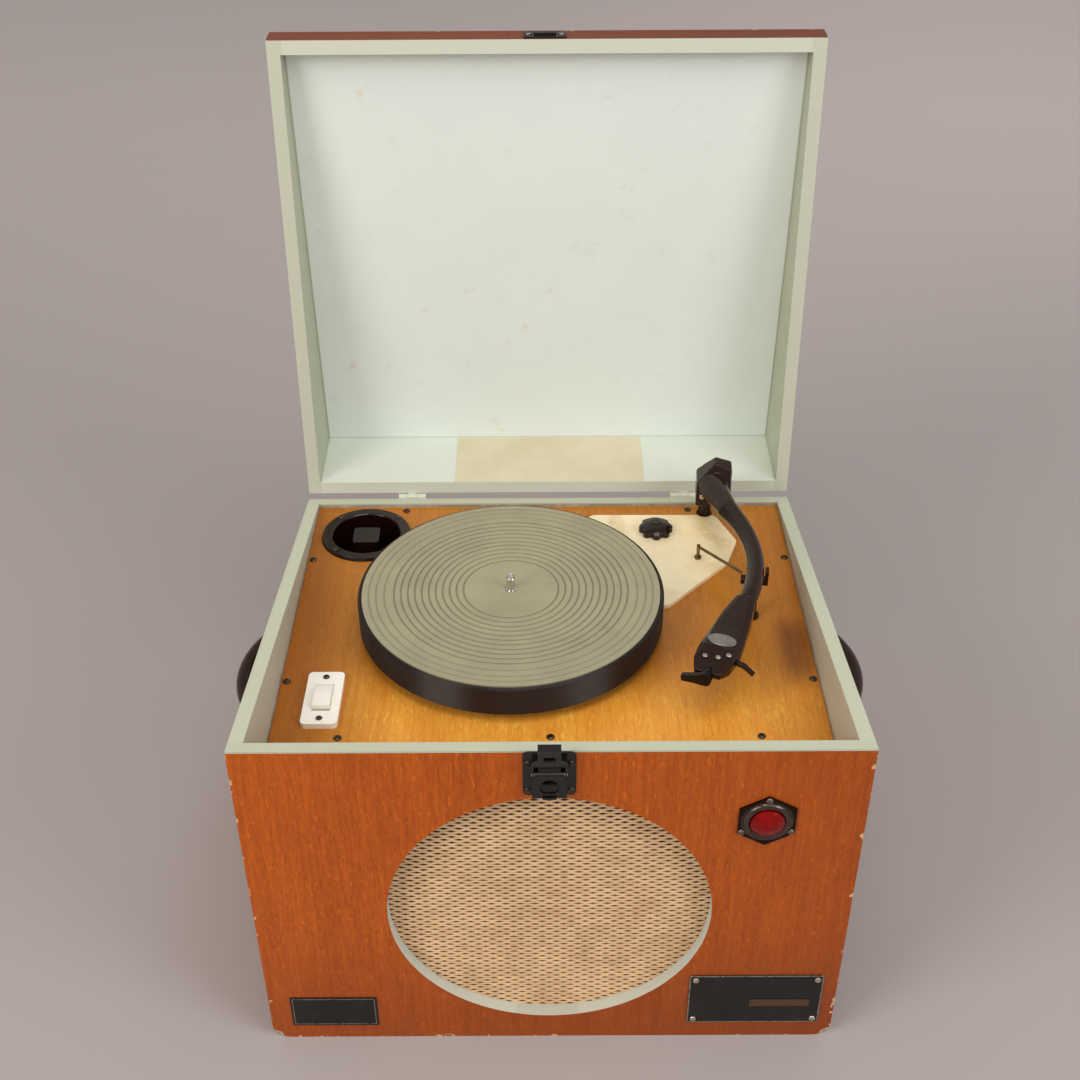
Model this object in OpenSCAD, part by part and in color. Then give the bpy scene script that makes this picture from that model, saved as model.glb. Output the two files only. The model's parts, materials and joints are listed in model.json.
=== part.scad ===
// Portable record player: plywood case with a wedge lid, turntable, bakelite arm and front loudspeaker.
// Units are millimetres. X is to the right, Y to the back and Z up.
// The origin is the centre of the case's underside.

/* [Case] */
// Width of the case
case_w = 457; // [440:1:480]
// Depth of the case from front to back
case_d = 413; // [408:1:440]
// Height of the front panel
front_h = 320; // [312:1:324]
// Height of the back panel
back_h = 259; // [255:1:262]
// Height of the shut lid's front edge above the front panel
lid_front_h = 22; // [20:1:40]
// Thickness of the case and lid walls
wall = 11; // [9:0.5:12]
// Thickness of the bottom board
bottom_t = 9; // [6:0.5:12]
// Thickness of the lid's top panel
lid_top_t = 6; // [4:0.5:8]
// Gap between the rims when the lid is shut
rim_gap = 0.5; // [0.3:0.1:1]

/* [Deck] */
// Depth of the deck's top below the back rim
deck_drop = 2.5; // [1:0.5:5]
// Thickness of the deck board
deck_t = 9; // [6:0.5:10]
// Gap round the deck board
deck_gap = 0.5; // [0.3:0.1:1]
// Radius of the cut-out under the turntable
cutout_r = 104; // [102:0.5:106]
// Width of the square battens that carry the deck
batten = 18; // [14:0.5:20]

/* [Turntable] */
// Distance of the spindle to the left of the arm's pillar
platter_left = 178.5; // [176:0.5:180]
// Distance of the spindle from the back face
platter_back = 187.5; // [185:0.5:191]
// Radius of the platter
platter_r = 128; // [127:0.5:130]
// Height of the platter's rim
platter_h = 26; // [25:0.5:27]
// Gap from the deck to the platter's rim
platter_lift = 8.5; // [8:0.5:10]
// Thickness of the platter's rim
platter_rim = 3; // [2:0.5:4]
// Thickness of the platter's disc
platter_disc = 3; // [2:0.5:4]
// Thickness of the rubber mat
mat_t = 4; // [3:0.5:5]
// Radius of the spindle where a record sits
spindle_r = 3.55; // [3.4:0.05:3.6]
// Length of the spindle above the mat
spindle_up = 15; // [12:0.5:18]
// Radius of the spindle in its bearing
shaft_r = 4.5; // [4:0.25:6]
// Radial clearance of a running fit
fit = 0.05; // [0.02:0.01:0.1]
// Radius of the idler wheel
idler_r = 28; // [27:0.5:29]
// Radius of the pulley's largest step
pulley_r = 7; // [6.5:0.25:7.5]
// Distance of the motor from the spindle
motor_out = 64; // [63.5:0.5:65]
// Radius of the motor
motor_r = 36; // [30:0.5:38]
// Height of the motor
motor_h = 48; // [40:0.5:60]
// Thickness of the unit plate
plate_t = 3.5; // [3:0.25:4]

/* [Arm] */
// Distance of the arm's pillar from the right face
pillar_side = 82; // [80.5:0.5:83.5]
// Distance of the arm's pillar from the back face
pillar_back = 28; // [27:0.5:30]
// Radius of the arm tube
arm_r = 7.5; // [6.5:0.25:8]
// Height of the tube's centre above the deck
arm_up = 48; // [47:0.5:52]
// Radius of the arm's long bend
bend_r = 160; // [155:1:165]
// Radius of the flared neck where it leaves the housing
neck_r = 10; // [9:0.25:11]
// Heading of the arm between the two bends
out_turn = 24.5; // [23:0.5:26]
// Heading of the head
in_turn = 25; // [24:0.5:26]
// Length of the head shell
head_l = 94; // [88:1:97]
// Half width of the head shell
head_half = 17; // [15:0.5:19]

/* [Speaker] */
// Place of the grille across the case
grille_x = -1.5; // [-4:0.5:4]
// Height of the grille's centre
grille_z = 150; // [146:0.5:154]
// Radius of the hole in the front panel
grille_r = 124; // [110:1:126]
// Thickness of the expanded metal
mesh_t = 1.2; // [0.8:0.1:2]
// Width of one diamond of the metal
diamond_w = 26; // [24:1:34]
// Height of one diamond of the metal
diamond_h = 13.5; // [12:0.5:18]
// Thickness of the baffle board
baffle_t = 9; // [6:0.5:12]
// Outer radius of the loudspeaker
speaker_r = 76; // [70:1:80]
// Depth of the loudspeaker
speaker_l = 82; // [70:1:90]

/* [Controls] */
// Radius of the control cup's flange
cup_flange_r = 41.5; // [40:0.5:42]
// Radius of the cup's mouth
cup_r = 31; // [28:0.5:32]
// Depth of the cup
cup_depth = 36; // [30:1:44]
// Width of the switch plate
switch_w = 29; // [27:0.5:32]
// Length of the switch plate
switch_l = 62; // [58:1:66]
// Thickness of the switch plate
switch_t = 5; // [4.5:0.25:6]
// Radius of the speed knob
speed_r = 15.5; // [13:0.5:16]
// Radius of the lamp's lens
lens_r = 12.5; // [10:0.5:14]

/* [Fittings] */
// Width of the catch plate
latch_w = 38; // [37:0.5:40]
// Height of the catch plate
latch_h = 41; // [40:0.5:43]
// Width of a hinge
hinge_w = 26; // [22:1:30]
// Distance of each hinge from the middle
hinge_x = 129.7; // [110:1:150]
// Distance of the hinge axis behind the back face
hinge_out = 4; // [4:0.25:5]
// Radius of a hinge knuckle
knuckle_r = 3.2; // [2.5:0.1:3.6]
// Radius of a hinge pin
hinge_pin_r = 1.4; // [1:0.1:1.8]
// Angle the lid opens
lid_open = 86.25; // [80:0.25:88]
// Distance a handle stands out from the side
handle_out = 38; // [34:1:40]
// Length of a handle
handle_l = 130; // [116:1:140]
// Thickness of a handle's grip
grip_t = 16; // [12:1:18]

/* [Hidden] */
$fn = 48;
eps = 0.01;
// Gap left between curved faces of different bodies, and under pieces that slide
near = 0.3;
// Radial clearance of a screw or bolt in its hole
hole_gap = 0.1;

// Case
in_w = case_w - 2 * wall;
front_y = -case_d / 2;
deck_z = back_h - deck_drop;
deck_under = deck_z - deck_t;
closed_h = front_h + lid_front_h;
lid_ceiling = closed_h - lid_top_t;
hinge_y = case_d + hinge_out;
hinge_z = back_h - 0.5;
side_batten_x = in_w / 2 - batten / 2;
// Each deck screw as [x, y from the front face]
screw_inset = 5;
deck_screw_r = 1.8;
deck_screw_head_r = 3.2;
rail_y = 82;
pillar_x = case_w / 2 - pillar_side;
pillar_y = case_d - pillar_back;
platter_x = pillar_x - platter_left;
platter_y = case_d - platter_back;
deck_side_x = in_w / 2 - screw_inset;
deck_screw_at = [
    [-deck_side_x, rail_y + 67], [deck_side_x, rail_y + 67],
    [-deck_side_x, case_d - 96], [deck_side_x, case_d - 96],
    [-134, case_d - wall - 7], [132, case_d - wall - 7], [-164, rail_y], [0, rail_y], [162.5, rail_y]
];

// Turntable
rim_foot = deck_z + platter_lift;
rim_top = rim_foot + platter_h;
mat_top = rim_top + 1;
disc_top = mat_top - mat_t;
disc_under = disc_top - platter_disc;
plate_z = deck_z + plate_t;
inner_rim_r = platter_r - platter_rim;
mat_r = inner_rim_r - 0.4;
hub_r = 13;
hub_foot = plate_z + 11;
bearing_r = 9;
bearing_l = 44;
bearing_foot = deck_z - bearing_l;
flange_r = 20;
flange_t = 3;
unit_r = cutout_r + 12;
unit_screw_out = cutout_r + 5;
idler_out = inner_rim_r - near - idler_r;
drive_reach = idler_r + near + pulley_r;
idler_turn = 43.5;
drive_angle = acos((motor_out * motor_out + idler_out * idler_out - drive_reach * drive_reach)
    / (2 * motor_out * idler_out));
motor_turn = idler_turn - drive_angle;
idler_t = 3;
idler_z = rim_foot + 2;
step_h = 4;
post_r = 2.5;
motor_top = deck_z - 16.5;
motor_shaft_r = 2.4;
rotor_r = 20;
carrier_z = motor_top + 3;
carrier_t = 3;
speed_x = pillar_x - 47.5;
speed_y = pillar_y - 30;
speed_shaft_r = 3;

// Arm
arm_z = deck_z + arm_up;
bend_start = [pillar_x + 13.1, pillar_y - 63];
bend_mid = bend_start - bend_r * [cos(out_turn), sin(out_turn)];
head_start = bend_mid + bend_r * [cos(in_turn), -sin(in_turn)];
neck_turn = 12;
neck_l = 49;
neck_drop = 5;
neck_dip = asin(neck_drop / neck_l);
ball_over = 0.4;

// Heading of the line from the pillar to the stylus, which the lift axle crosses squarely
arm_lean = -4.6;
axle_z = deck_z + 31.5;
axle_r = 2;
yoke_r = 6;
pillar_r = 5.5;
pillar_pin_r = 3;
cave = yoke_r + 0.8;
housing_left = 9.5;
housing_right = 22.5;
housing_foot = deck_z + 22;
housing_top = deck_z + 61.5;
axle_left = housing_left - 0.8;
axle_right = cave + 6;
head_foot = arm_z - 8.5;
head_top = arm_z + 4.5;
stylus_z = arm_z - 4.5;
stylus_r = 4.5;
head_bore = 4.8;
// Wider groove in the bore where the upper tip turns
tip_bore = 6.3;
rest_turn = -8.5;
rest_at = bend_mid + bend_r * [cos(rest_turn), sin(rest_turn)];

// Speaker
mesh_y = wall;
cloth_t = 0.6;
cloth_y = mesh_y + mesh_t;
baffle_y = cloth_y + cloth_t;
baffle_back = baffle_y + baffle_t;
baffle_top = front_h - 30;
mesh_r = grille_r + 8;
cone_hole_r = speaker_r - 10;
speaker_bolt_out = speaker_r - 5;
strand = 3;

// Controls
cup_x = -in_w / 2 + 49.5;
cup_y = case_d - 58;
cup_wall = 2.5;
cup_floor = deck_z - cup_depth;
knob_shaft_r = 3;
switch_x = -in_w / 2 + 37.5;
switch_y = 124;
switch_pitch = 49;
rocker_w = 14;
rocker_l = 30;
rocker_gap = 0.6;
rocker_tilt = 7;
rocker_pin_r = 1.3;
rocker_z = deck_z + switch_t - 2.2;
lamp_x = case_w / 2 - 72.1;
lamp_z = 250.5;
lamp_flat = 42;
lamp_plate_t = 1.6;
lamp_hole_r = lens_r + 1;

// Fittings
latch_x = -1.4;
latch_foot = front_h - 0.5 - latch_h;
latch_t = 1.6;
// The lever turns on the upper pin and carries the claw on the lower one
lever_pin_z = front_h - 8;
lever_pin_out = 5;
claw_pin_z = lever_pin_z - 7;
claw_pin_out = 8.5;
pin_r = 1.2;
barrel_r = 3;
eye_r = 2.6;
knuckle_half = 7.9;
ear_w = 2.6;
cheek_half = 10.6;
tab_half = 12.3;
claw_half = 8.2;
claw_arm = 11.1;
claw_lean = 12;
keeper_w = 35;
handle_y = 205;
handle_z = 217;
lamp_screw_out = 21;
lamp_screw_at = [for (a = [90, 210, 330]) lamp_screw_out * [cos(a), sin(a)]];
latch_screw_at = [[-15.5, 5], [15.5, 5], [-15.5, latch_h - 10], [15.5, latch_h - 10]];
label_x = -case_w / 2 + 52.5;
label_z = 33.5;
label_w = 70;
label_h = 35;
badge_x = case_w / 2 - 65;
badge_z = 47.5;
badge_w = 107;
badge_h = 58;
trim_t = 1.2;
small_r = 1.3;
small_head_r = 2.6;
small_head_h = 1.4;
small_l = 7;

// Height of the rim at a distance from the front face
function rim_z(y) = front_h + (back_h - front_h) * y / case_d;
function unit(v) = v / norm(v);
function polar(r, a) = r * [cos(a), sin(a)];
// Points of an arc that rounds the corner b between a and c
function corner(a, b, c, r, n) =
    let (u = unit(a - b), w = unit(c - b), h = acos(u * w) / 2)
    let (m = b + unit(u + w) * r / sin(h), p = b + u * r / tan(h) - m, q = b + w * r / tan(h) - m)
    let (s = atan2(p[1], p[0]), d = atan2(q[1], q[0]) - s)
    let (turn = d > 180 ? d - 360 : (d < -180 ? d + 360 : d))
    [for (i = [0:n]) m + polar(r, s + turn * i / n)];
// The outline with each of its corners rounded
function rounded(pts, r, n = 5) =
    let (k = len(pts))
    [for (i = [0:k - 1]) each corner(pts[(i + k - 1) % k], pts[i], pts[(i + 1) % k], r, n)];
function box_outline(w, h) = [[-w / 2, -h / 2], [w / 2, -h / 2], [w / 2, h / 2], [-w / 2, h / 2]];

// Puts children where Y is measured from the front face
module in_case() { translate([0, front_y, 0]) children(); }
// Puts children drawn flat, X across and Y up, onto the front face with Z pointing out of it
module on_front() { translate([0, front_y, 0]) rotate([90, 0, 0]) children(); }
// Turns children from the shut lid to the open lid
module opened() {
    translate([0, front_y + hinge_y, hinge_z]) rotate([-lid_open, 0, 0]) translate([0, -hinge_y, -hinge_z])
        children();
}
// A box from one corner to the opposite one
module block(a, b) { translate(a) cube(b - a); }
// A cylinder along Y between two distances from the front face
module rod_y(x, z, y0, y1, r) { translate([x, y1, z]) rotate([90, 0, 0]) cylinder(h = y1 - y0, r = r); }
module rod_x(x0, x1, y, z, r) { translate([x0, y, z]) rotate([0, 90, 0]) cylinder(h = x1 - x0, r = r); }
// A flat ring along Z
module ring(z0, z1, r0, r1) {
    translate([0, 0, z0]) difference() {
        cylinder(h = z1 - z0, r = r1);
        translate([0, 0, -1]) cylinder(h = z1 - z0 + 2, r = r0);
    }
}
// A screw whose head stands on Z = 0, with its shank below
module screw(head_r, head_h, r, l) {
    translate([0, 0, head_h / 2]) cylinder(h = head_h / 2, r1 = head_r, r2 = head_r * 0.7);
    cylinder(h = head_h / 2, r = head_r);
    translate([0, 0, -l]) cylinder(h = l + eps, r = r);
}
module small_screw() { screw(small_head_r, small_head_h, small_r, small_l); }
module small_hole() { translate([0, 0, -small_l - 0.5]) cylinder(h = small_l + 10, r = small_r + hole_gap); }

// Side view of the case body and of the lid, extruded across the case
module across(pts, x0, x1) {
    translate([x0, 0, 0]) rotate([90, 0, 90]) linear_extrude(x1 - x0) polygon(pts);
}
module body_wedge(x0, x1, y0, y1) {
    across([[y0, 0], [y1, 0], [y1, rim_z(y1)], [y0, rim_z(y0)]], x0, x1);
}
module lid_wedge(x0, x1, y0, y1) {
    across([[y0, rim_z(y0) + rim_gap], [y1, rim_z(y1) + rim_gap], [y1, lid_ceiling], [y0, lid_ceiling]], x0,
        x1);
}

// Places of the holes that the front panel and its fittings share
module latch_screw_places() {
    for (p = latch_screw_at) translate([latch_x + p[0], latch_foot + p[1], latch_t]) children();
}
module lamp_screw_places() {
    for (p = lamp_screw_at) translate([lamp_x + p[0], lamp_z + p[1], lamp_plate_t]) children();
}
module badge_screw_places() {
    for (sx = [-1, 1], sz = [-1, 1])
        translate([badge_x + sx * (badge_w / 2 - 5), badge_z + sz * (badge_h / 2 - 5), trim_t]) children();
}
module switch_screw_places() {
    for (s = [-1, 1]) translate([switch_x, switch_y + s * switch_pitch / 2, deck_z + switch_t]) children();
}
// Hinge screws on the back face, two to a leaf, drawn for the case and for the shut lid
module leaf_screw_places(z) {
    for (sx = [-1, 1], dx = [-1, 1])
        translate([sx * hinge_x + dx * hinge_w / 4, case_d + leaf_t, z]) rotate([-90, 0, 0]) children();
}
module handle_screw_places() {
    for (sx = [-1, 1], sy = [-1, 1])
        translate([sx * (case_w / 2 + foot_t), handle_y + sy * (handle_l / 2 + 11), handle_z])
            rotate([0, sx * 90, 0]) children();
}
module cup_screw_places() {
    for (a = [45:90:315])
        translate(concat([cup_x, cup_y] + polar(cup_r + 6, a), deck_z + cup_lip)) children();
}
leaf_t = 1.2;
foot_t = 2;
cup_lip = 3;
leaf_h = 22;
leaf_screw_drop = leaf_h / 2 + knuckle_r;

// Case
module case_front() {
    color("sienna") difference() {
        in_case() body_wedge(-case_w / 2, case_w / 2, 0, wall);
        on_front() {
            translate([grille_x, grille_z, -wall - 1]) cylinder(h = wall + 2, r = grille_r, $fn = 96);
            translate([lamp_x, lamp_z, -wall - 1]) cylinder(h = wall + 2, r = lamp_hole_r);
            latch_screw_places() small_hole();
            lamp_screw_places() small_hole();
            badge_screw_places() small_hole();
        }
    }
}
module case_sides() {
    color("peru") difference() {
        in_case() {
            body_wedge(-case_w / 2, -in_w / 2, wall, case_d - wall);
            body_wedge(in_w / 2, case_w / 2, wall, case_d - wall);
        }
        in_case() handle_screw_places() small_hole();
    }
}
vent_r = 5;
vent_pitch = 22;
vent_z = [120, 142, 164];
inlet_x = -in_w / 2 + 67.5;
inlet_z = 60;
inlet_w = 34;
inlet_h = 24;
module case_back() {
    color("sienna") difference() {
        in_case() body_wedge(-case_w / 2, case_w / 2, case_d - wall, case_d);
        in_case() {
            for (i = [-5:5], z = vent_z) rod_y(i * vent_pitch, z, case_d - wall - 1, case_d + 1, vent_r);
            block([inlet_x - inlet_w / 2, case_d - wall - 1, inlet_z - inlet_h / 2],
                [inlet_x + inlet_w / 2, case_d + 1, inlet_z + inlet_h / 2]);
            leaf_screw_places(hinge_z - leaf_screw_drop) small_hole();
        }
    }
}
module case_bottom() {
    color("tan") difference() {
        in_case() block([-in_w / 2, wall, 0], [in_w / 2, case_d - wall, bottom_t]);
        in_case() chassis_bolt_places() translate([0, 0, -bottom_t - 5])
            cylinder(h = bottom_t + 10, r = bolt_r + hole_gap);
    }
}
bolt_r = 1.9;
bolt_head_r = 3.8;
bolt_head_h = 2.2;
batten_gap = 1;
module case_battens() {
    rail_x = side_batten_x - batten / 2 - batten_gap;
    top = deck_under;
    color("burlywood") difference() {
        in_case() {
            for (s = [-1, 1]) {
                translate([s * side_batten_x, 0, 0]) {
                    block([-batten / 2, baffle_back + batten_gap, top - batten],
                        [batten / 2, case_d - wall, top]);
                    block([-batten / 2, case_d - wall - batten, bottom_t],
                        [batten / 2, case_d - wall, top - batten - batten_gap]);
                    block([-batten / 2, baffle_back, bottom_t],
                        [batten / 2, baffle_back + batten, top - batten - batten_gap]);
                }
            }
            block([-rail_x, case_d - wall - batten, top - batten], [rail_x, case_d - wall, top]);
            block([-rail_x, rail_y - batten / 2, top - batten], [rail_x, rail_y + batten / 2, top]);
        }
        in_case() {
            deck_screw_holes();
            translate([cup_x, cup_y, bottom_t]) cylinder(h = deck_z, r = cup_r + cup_wall + deck_gap);
        }
    }
}
deck_screw_l = 22;
module deck_screw_holes() {
    for (p = deck_screw_at)
        translate([p[0], p[1], deck_z - deck_screw_l - 0.5])
            cylinder(h = deck_screw_l + 5, r = deck_screw_r + hole_gap);
}
module deck_board() {
    color("goldenrod") difference() {
        in_case() block([-in_w / 2 + deck_gap, baffle_back + deck_gap, deck_under],
            [in_w / 2 - deck_gap, case_d - wall - deck_gap, deck_z]);
        in_case() {
            translate([platter_x, platter_y, deck_under - 1])
                cylinder(h = deck_t + 2, r = cutout_r, $fn = 96);
            translate([cup_x, cup_y, deck_under - 1])
                cylinder(h = deck_t + 2, r = cup_r + cup_wall + deck_gap);
            block([switch_x - rocker_w / 2 - 4, switch_y - rocker_l / 2 - 3, deck_under - 1],
                [switch_x + rocker_w / 2 + 4, switch_y + rocker_l / 2 + 3, deck_z + 1]);
            translate([speed_x, speed_y, deck_under - 1]) cylinder(h = deck_t + 2, r = slot_r);
            translate([pillar_x, pillar_y, deck_under - 1])
                cylinder(h = deck_t + 2, r = pillar_stub_r + hole_gap);
            translate([trip_x, trip_y, deck_under - 1]) cylinder(h = deck_t + 2, r = trip_collar_r + 1);
            carrier_slot();
            deck_screw_holes();
            switch_screw_places() translate([0, 0, -switch_t]) small_hole();
            cup_screw_places() translate([0, 0, -cup_lip]) small_hole();
            unit_screw_places() small_hole();
            translate([rest_at[0], rest_at[1], deck_under - 1])
                cylinder(h = deck_t + 2, r = rest_stub_r + hole_gap);
        }
    }
}
slot_r = 14;
pillar_stub_r = 5;
rest_stub_r = 3;
// Slot in the deck that lets the idler's carrier rise
module carrier_slot() {
    translate([platter_x, platter_y, deck_under - 1]) rotate([0, 0, idler_turn])
        translate([idler_out, -10, 0]) cube([speed_out - idler_out, 20, deck_t + 2]);
}
speed_out = norm([speed_x - platter_x, speed_y - platter_y]);
module deck_screws() {
    color("dimgray") in_case() for (p = deck_screw_at)
        translate([p[0], p[1], deck_z]) screw(deck_screw_head_r, 1.6, deck_screw_r, deck_screw_l);
}
module fitting_screws() {
    color("gray") {
        on_front() {
            latch_screw_places() small_screw();
            lamp_screw_places() small_screw();
            badge_screw_places() small_screw();
        }
        in_case() {
            switch_screw_places() small_screw();
            cup_screw_places() small_screw();
            unit_screw_places() small_screw();
            leaf_screw_places(hinge_z - leaf_screw_drop) small_screw();
            handle_screw_places() small_screw();
            hinge_pins();
        }
    }
}

// Bolts of the loudspeaker, the chassis and the motor
module speaker_bolt_places() {
    for (a = [45:90:315]) {
        p = [grille_x, grille_z] + polar(speaker_bolt_out, a);
        translate([p[0], baffle_back + frame_t, p[1]]) rotate([-90, 0, 0]) children();
    }
}
module chassis_bolt_places() {
    for (x = [chassis_x + 10, chassis_x + chassis_w - 10], y = [chassis_y - 6, chassis_y + chassis_l + 6])
        translate([x, y, bottom_t + sheet_t]) children();
}
module motor_bolt_places() {
    for (a = [90, 200, 290])
        translate(concat(motor_at + polar(motor_r - 8, motor_turn + a), plate_z)) children();
}
module machine_bolts() {
    color("silver") in_case() {
        speaker_bolt_places() screw(bolt_head_r, bolt_head_h, bolt_r, 8);
        chassis_bolt_places() screw(bolt_head_r, bolt_head_h, bolt_r, 8);
        motor_bolt_places() screw(bolt_head_r, bolt_head_h, bolt_r, 12);
    }
}

// Speaker
module speaker_baffle() {
    color("burlywood") difference() {
        in_case() block([-in_w / 2 + deck_gap, baffle_y, bottom_t],
            [in_w / 2 - deck_gap, baffle_back, baffle_top]);
        in_case() {
            rod_y(grille_x, grille_z, baffle_y - 1, baffle_back + 1, cone_hole_r);
            rod_y(lamp_x, lamp_z, baffle_y - 1, baffle_back + 1, lamp_hole_r);
            speaker_bolt_places() translate([0, 0, -9]) cylinder(h = 12, r = bolt_r + hole_gap);
        }
    }
}
// Expanded metal with a diamond every half pitch, kept inside a plain border
module diamonds() {
    n = ceil(mesh_r / diamond_h) + 1;
    for (j = [-2 * n:2 * n], i = [-n:n]) {
        c = [(i + (j % 2 == 0 ? 0 : 0.5)) * diamond_w, j * diamond_h / 2];
        if (norm(c) < mesh_r - diamond_w / 2 - 1) translate(c)
            polygon([[-diamond_w / 2 + strand, 0], [0, -diamond_h / 2 + strand / 2],
                [diamond_w / 2 - strand, 0], [0, diamond_h / 2 - strand / 2]]);
    }
}
module grille_mesh() {
    color("wheat") in_case() translate([grille_x, mesh_y + mesh_t, grille_z]) rotate([90, 0, 0])
        linear_extrude(mesh_t) difference() {
            circle(mesh_r, $fn = 96);
            diamonds();
        }
}
module speaker_cloth() {
    color("bisque") in_case() rod_y(grille_x, grille_z, cloth_y, baffle_y, mesh_r, $fn = 96);
}
frame_t = 2;
magnet_r = 32;
magnet_l = 30;
magnet_y = baffle_back + speaker_l - magnet_l;
// Turns a profile of [radius, distance behind the baffle] about the speaker's axis
module about_speaker() {
    in_case() translate([grille_x, baffle_back, grille_z]) rotate([-90, 0, 0]) rotate_extrude($fn = 64)
        children();
}
module speaker_frame() {
    back = speaker_l - magnet_l;
    rim = speaker_r - 12;
    color("dimgray") difference() {
        about_speaker() polygon([[rim, 0], [speaker_r, 0], [speaker_r, frame_t], [rim + 2, frame_t],
            [magnet_r, back], [14, back], [14, back - frame_t], [magnet_r - 2, back - frame_t], [rim,
                frame_t + 1]]);
        speaker_bolts_cut();
        for (a = [0:90:270]) in_case() translate([grille_x, baffle_back + back / 2, grille_z])
            rotate([0, a, 0])
            translate([0, 0, rim * 0.72]) cube([26, back - 22, 40], center = true);
    }
}
module speaker_bolts_cut() {
    in_case() speaker_bolt_places() translate([0, 0, -9]) cylinder(h = 12, r = bolt_r + hole_gap);
}
module speaker_cone() {
    back = speaker_l - magnet_l - 8;
    color("darkslategray") about_speaker()
        polygon([[speaker_r - 12.5, 0.2], [speaker_r - 12.5, 1.4], [speaker_r - 17, 1.8], [17, back],
            [0, back - 4],
            [0, back - 5], [16, back - 1.4], [speaker_r - 18, 0.6]]);
}
module speaker_magnet() {
    color("silver") about_speaker()
        polygon([[0, speaker_l - magnet_l], [magnet_r, speaker_l - magnet_l], [magnet_r, speaker_l],
            [magnet_r - 3, speaker_l + 2], [0, speaker_l + 2]]);
}

// Amplifier
chassis_x = in_w / 2 - 207.5;
chassis_y = case_d - wall - 127;
chassis_w = 180;
chassis_l = 100;
chassis_h = 48;
sheet_t = 1.6;
valve_r = 11;
valve_h = 62;
valve_at = [[100, 25], [135, 25], [165, 70]];
module amp_chassis() {
    color("lightgray") in_case() difference() {
        union() {
            block([chassis_x, chassis_y, bottom_t], [chassis_x + chassis_w, chassis_y + chassis_l,
                bottom_t + chassis_h]);
            block([chassis_x, chassis_y - 12, bottom_t],
                [chassis_x + chassis_w, chassis_y + chassis_l + 12, bottom_t + sheet_t]);
        }
        block([chassis_x + sheet_t, chassis_y + sheet_t, bottom_t - 1],
            [chassis_x + chassis_w - sheet_t, chassis_y + chassis_l - sheet_t,
                bottom_t + chassis_h - sheet_t]);
        chassis_bolt_places() translate([0, 0, -5]) cylinder(h = 10, r = bolt_r + hole_gap);
    }
}
module valves() {
    color("lightsteelblue") in_case() for (p = valve_at)
        translate([chassis_x + p[0], chassis_y + p[1], bottom_t + chassis_h]) {
            cylinder(h = 8, r = valve_r + 2);
            translate([0, 0, 8 - eps]) cylinder(h = valve_h - valve_r - 8, r = valve_r);
            translate([0, 0, valve_h - valve_r - eps]) sphere(valve_r);
        }
}
module transformer(w, l, h) {
    translate([-w / 2, -l * 0.3, 0]) cube([w, l * 0.6, h]);
    translate([-w * 0.35, -l / 2, h * 0.15]) cube([w * 0.7, l, h * 0.7]);
}
module transformers() {
    color("slategray") in_case() translate([chassis_x, chassis_y, bottom_t + chassis_h]) {
        translate([40, 50, 0]) transformer(62, 56, 58);
        translate([112, 72, 0]) transformer(40, 36, 36);
    }
}
module mains_inlet() {
    color("black") in_case() difference() {
        union() {
            block([inlet_x - inlet_w / 2 + near, case_d - wall - 14, inlet_z - inlet_h / 2 + near],
                [inlet_x + inlet_w / 2 - near, case_d, inlet_z + inlet_h / 2 - near]);
            block([inlet_x - inlet_w / 2 - 5, case_d, inlet_z - inlet_h / 2 - 4],
                [inlet_x + inlet_w / 2 + 5, case_d + 2, inlet_z + inlet_h / 2 + 4]);
        }
        block([inlet_x - inlet_w / 2 + 4, case_d - 14, inlet_z - inlet_h / 2 + 4],
            [inlet_x + inlet_w / 2 - 4, case_d + 3, inlet_z + inlet_h / 2 - 4]);
    }
}

// Turntable
motor_at = [platter_x, platter_y] + polar(motor_out, motor_turn);
idler_at = [platter_x, platter_y] + polar(idler_out, idler_turn);
unit_screw_turns = [100, 190, 280];
trip_x = pillar_x - 12.5;
trip_y = pillar_y - 73;
trip_pin_r = 1.6;
trip_collar_r = 3;
trip_z = deck_z + 16;
trip_end = [pillar_x + 21.5, pillar_y - 112];
module unit_screw_places() {
    for (a = unit_screw_turns) translate(concat([platter_x, platter_y] + polar(unit_screw_out, a), plate_z))
        children();
    for (p = [[-86.5, -15], [15.5, -48]]) translate([pillar_x + p[0], pillar_y + p[1], plate_z]) children();
}
module plate_outline() {
    translate([platter_x, platter_y]) circle(unit_r, $fn = 96);
    translate([pillar_x, pillar_y]) polygon(rounded([[-116.5, -85], [-108.5, -3], [9.5, -4], [25.5, -46],
        [13.5, -80], [-43.5, -142], [-86.5, -145]], 7));
}
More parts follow.
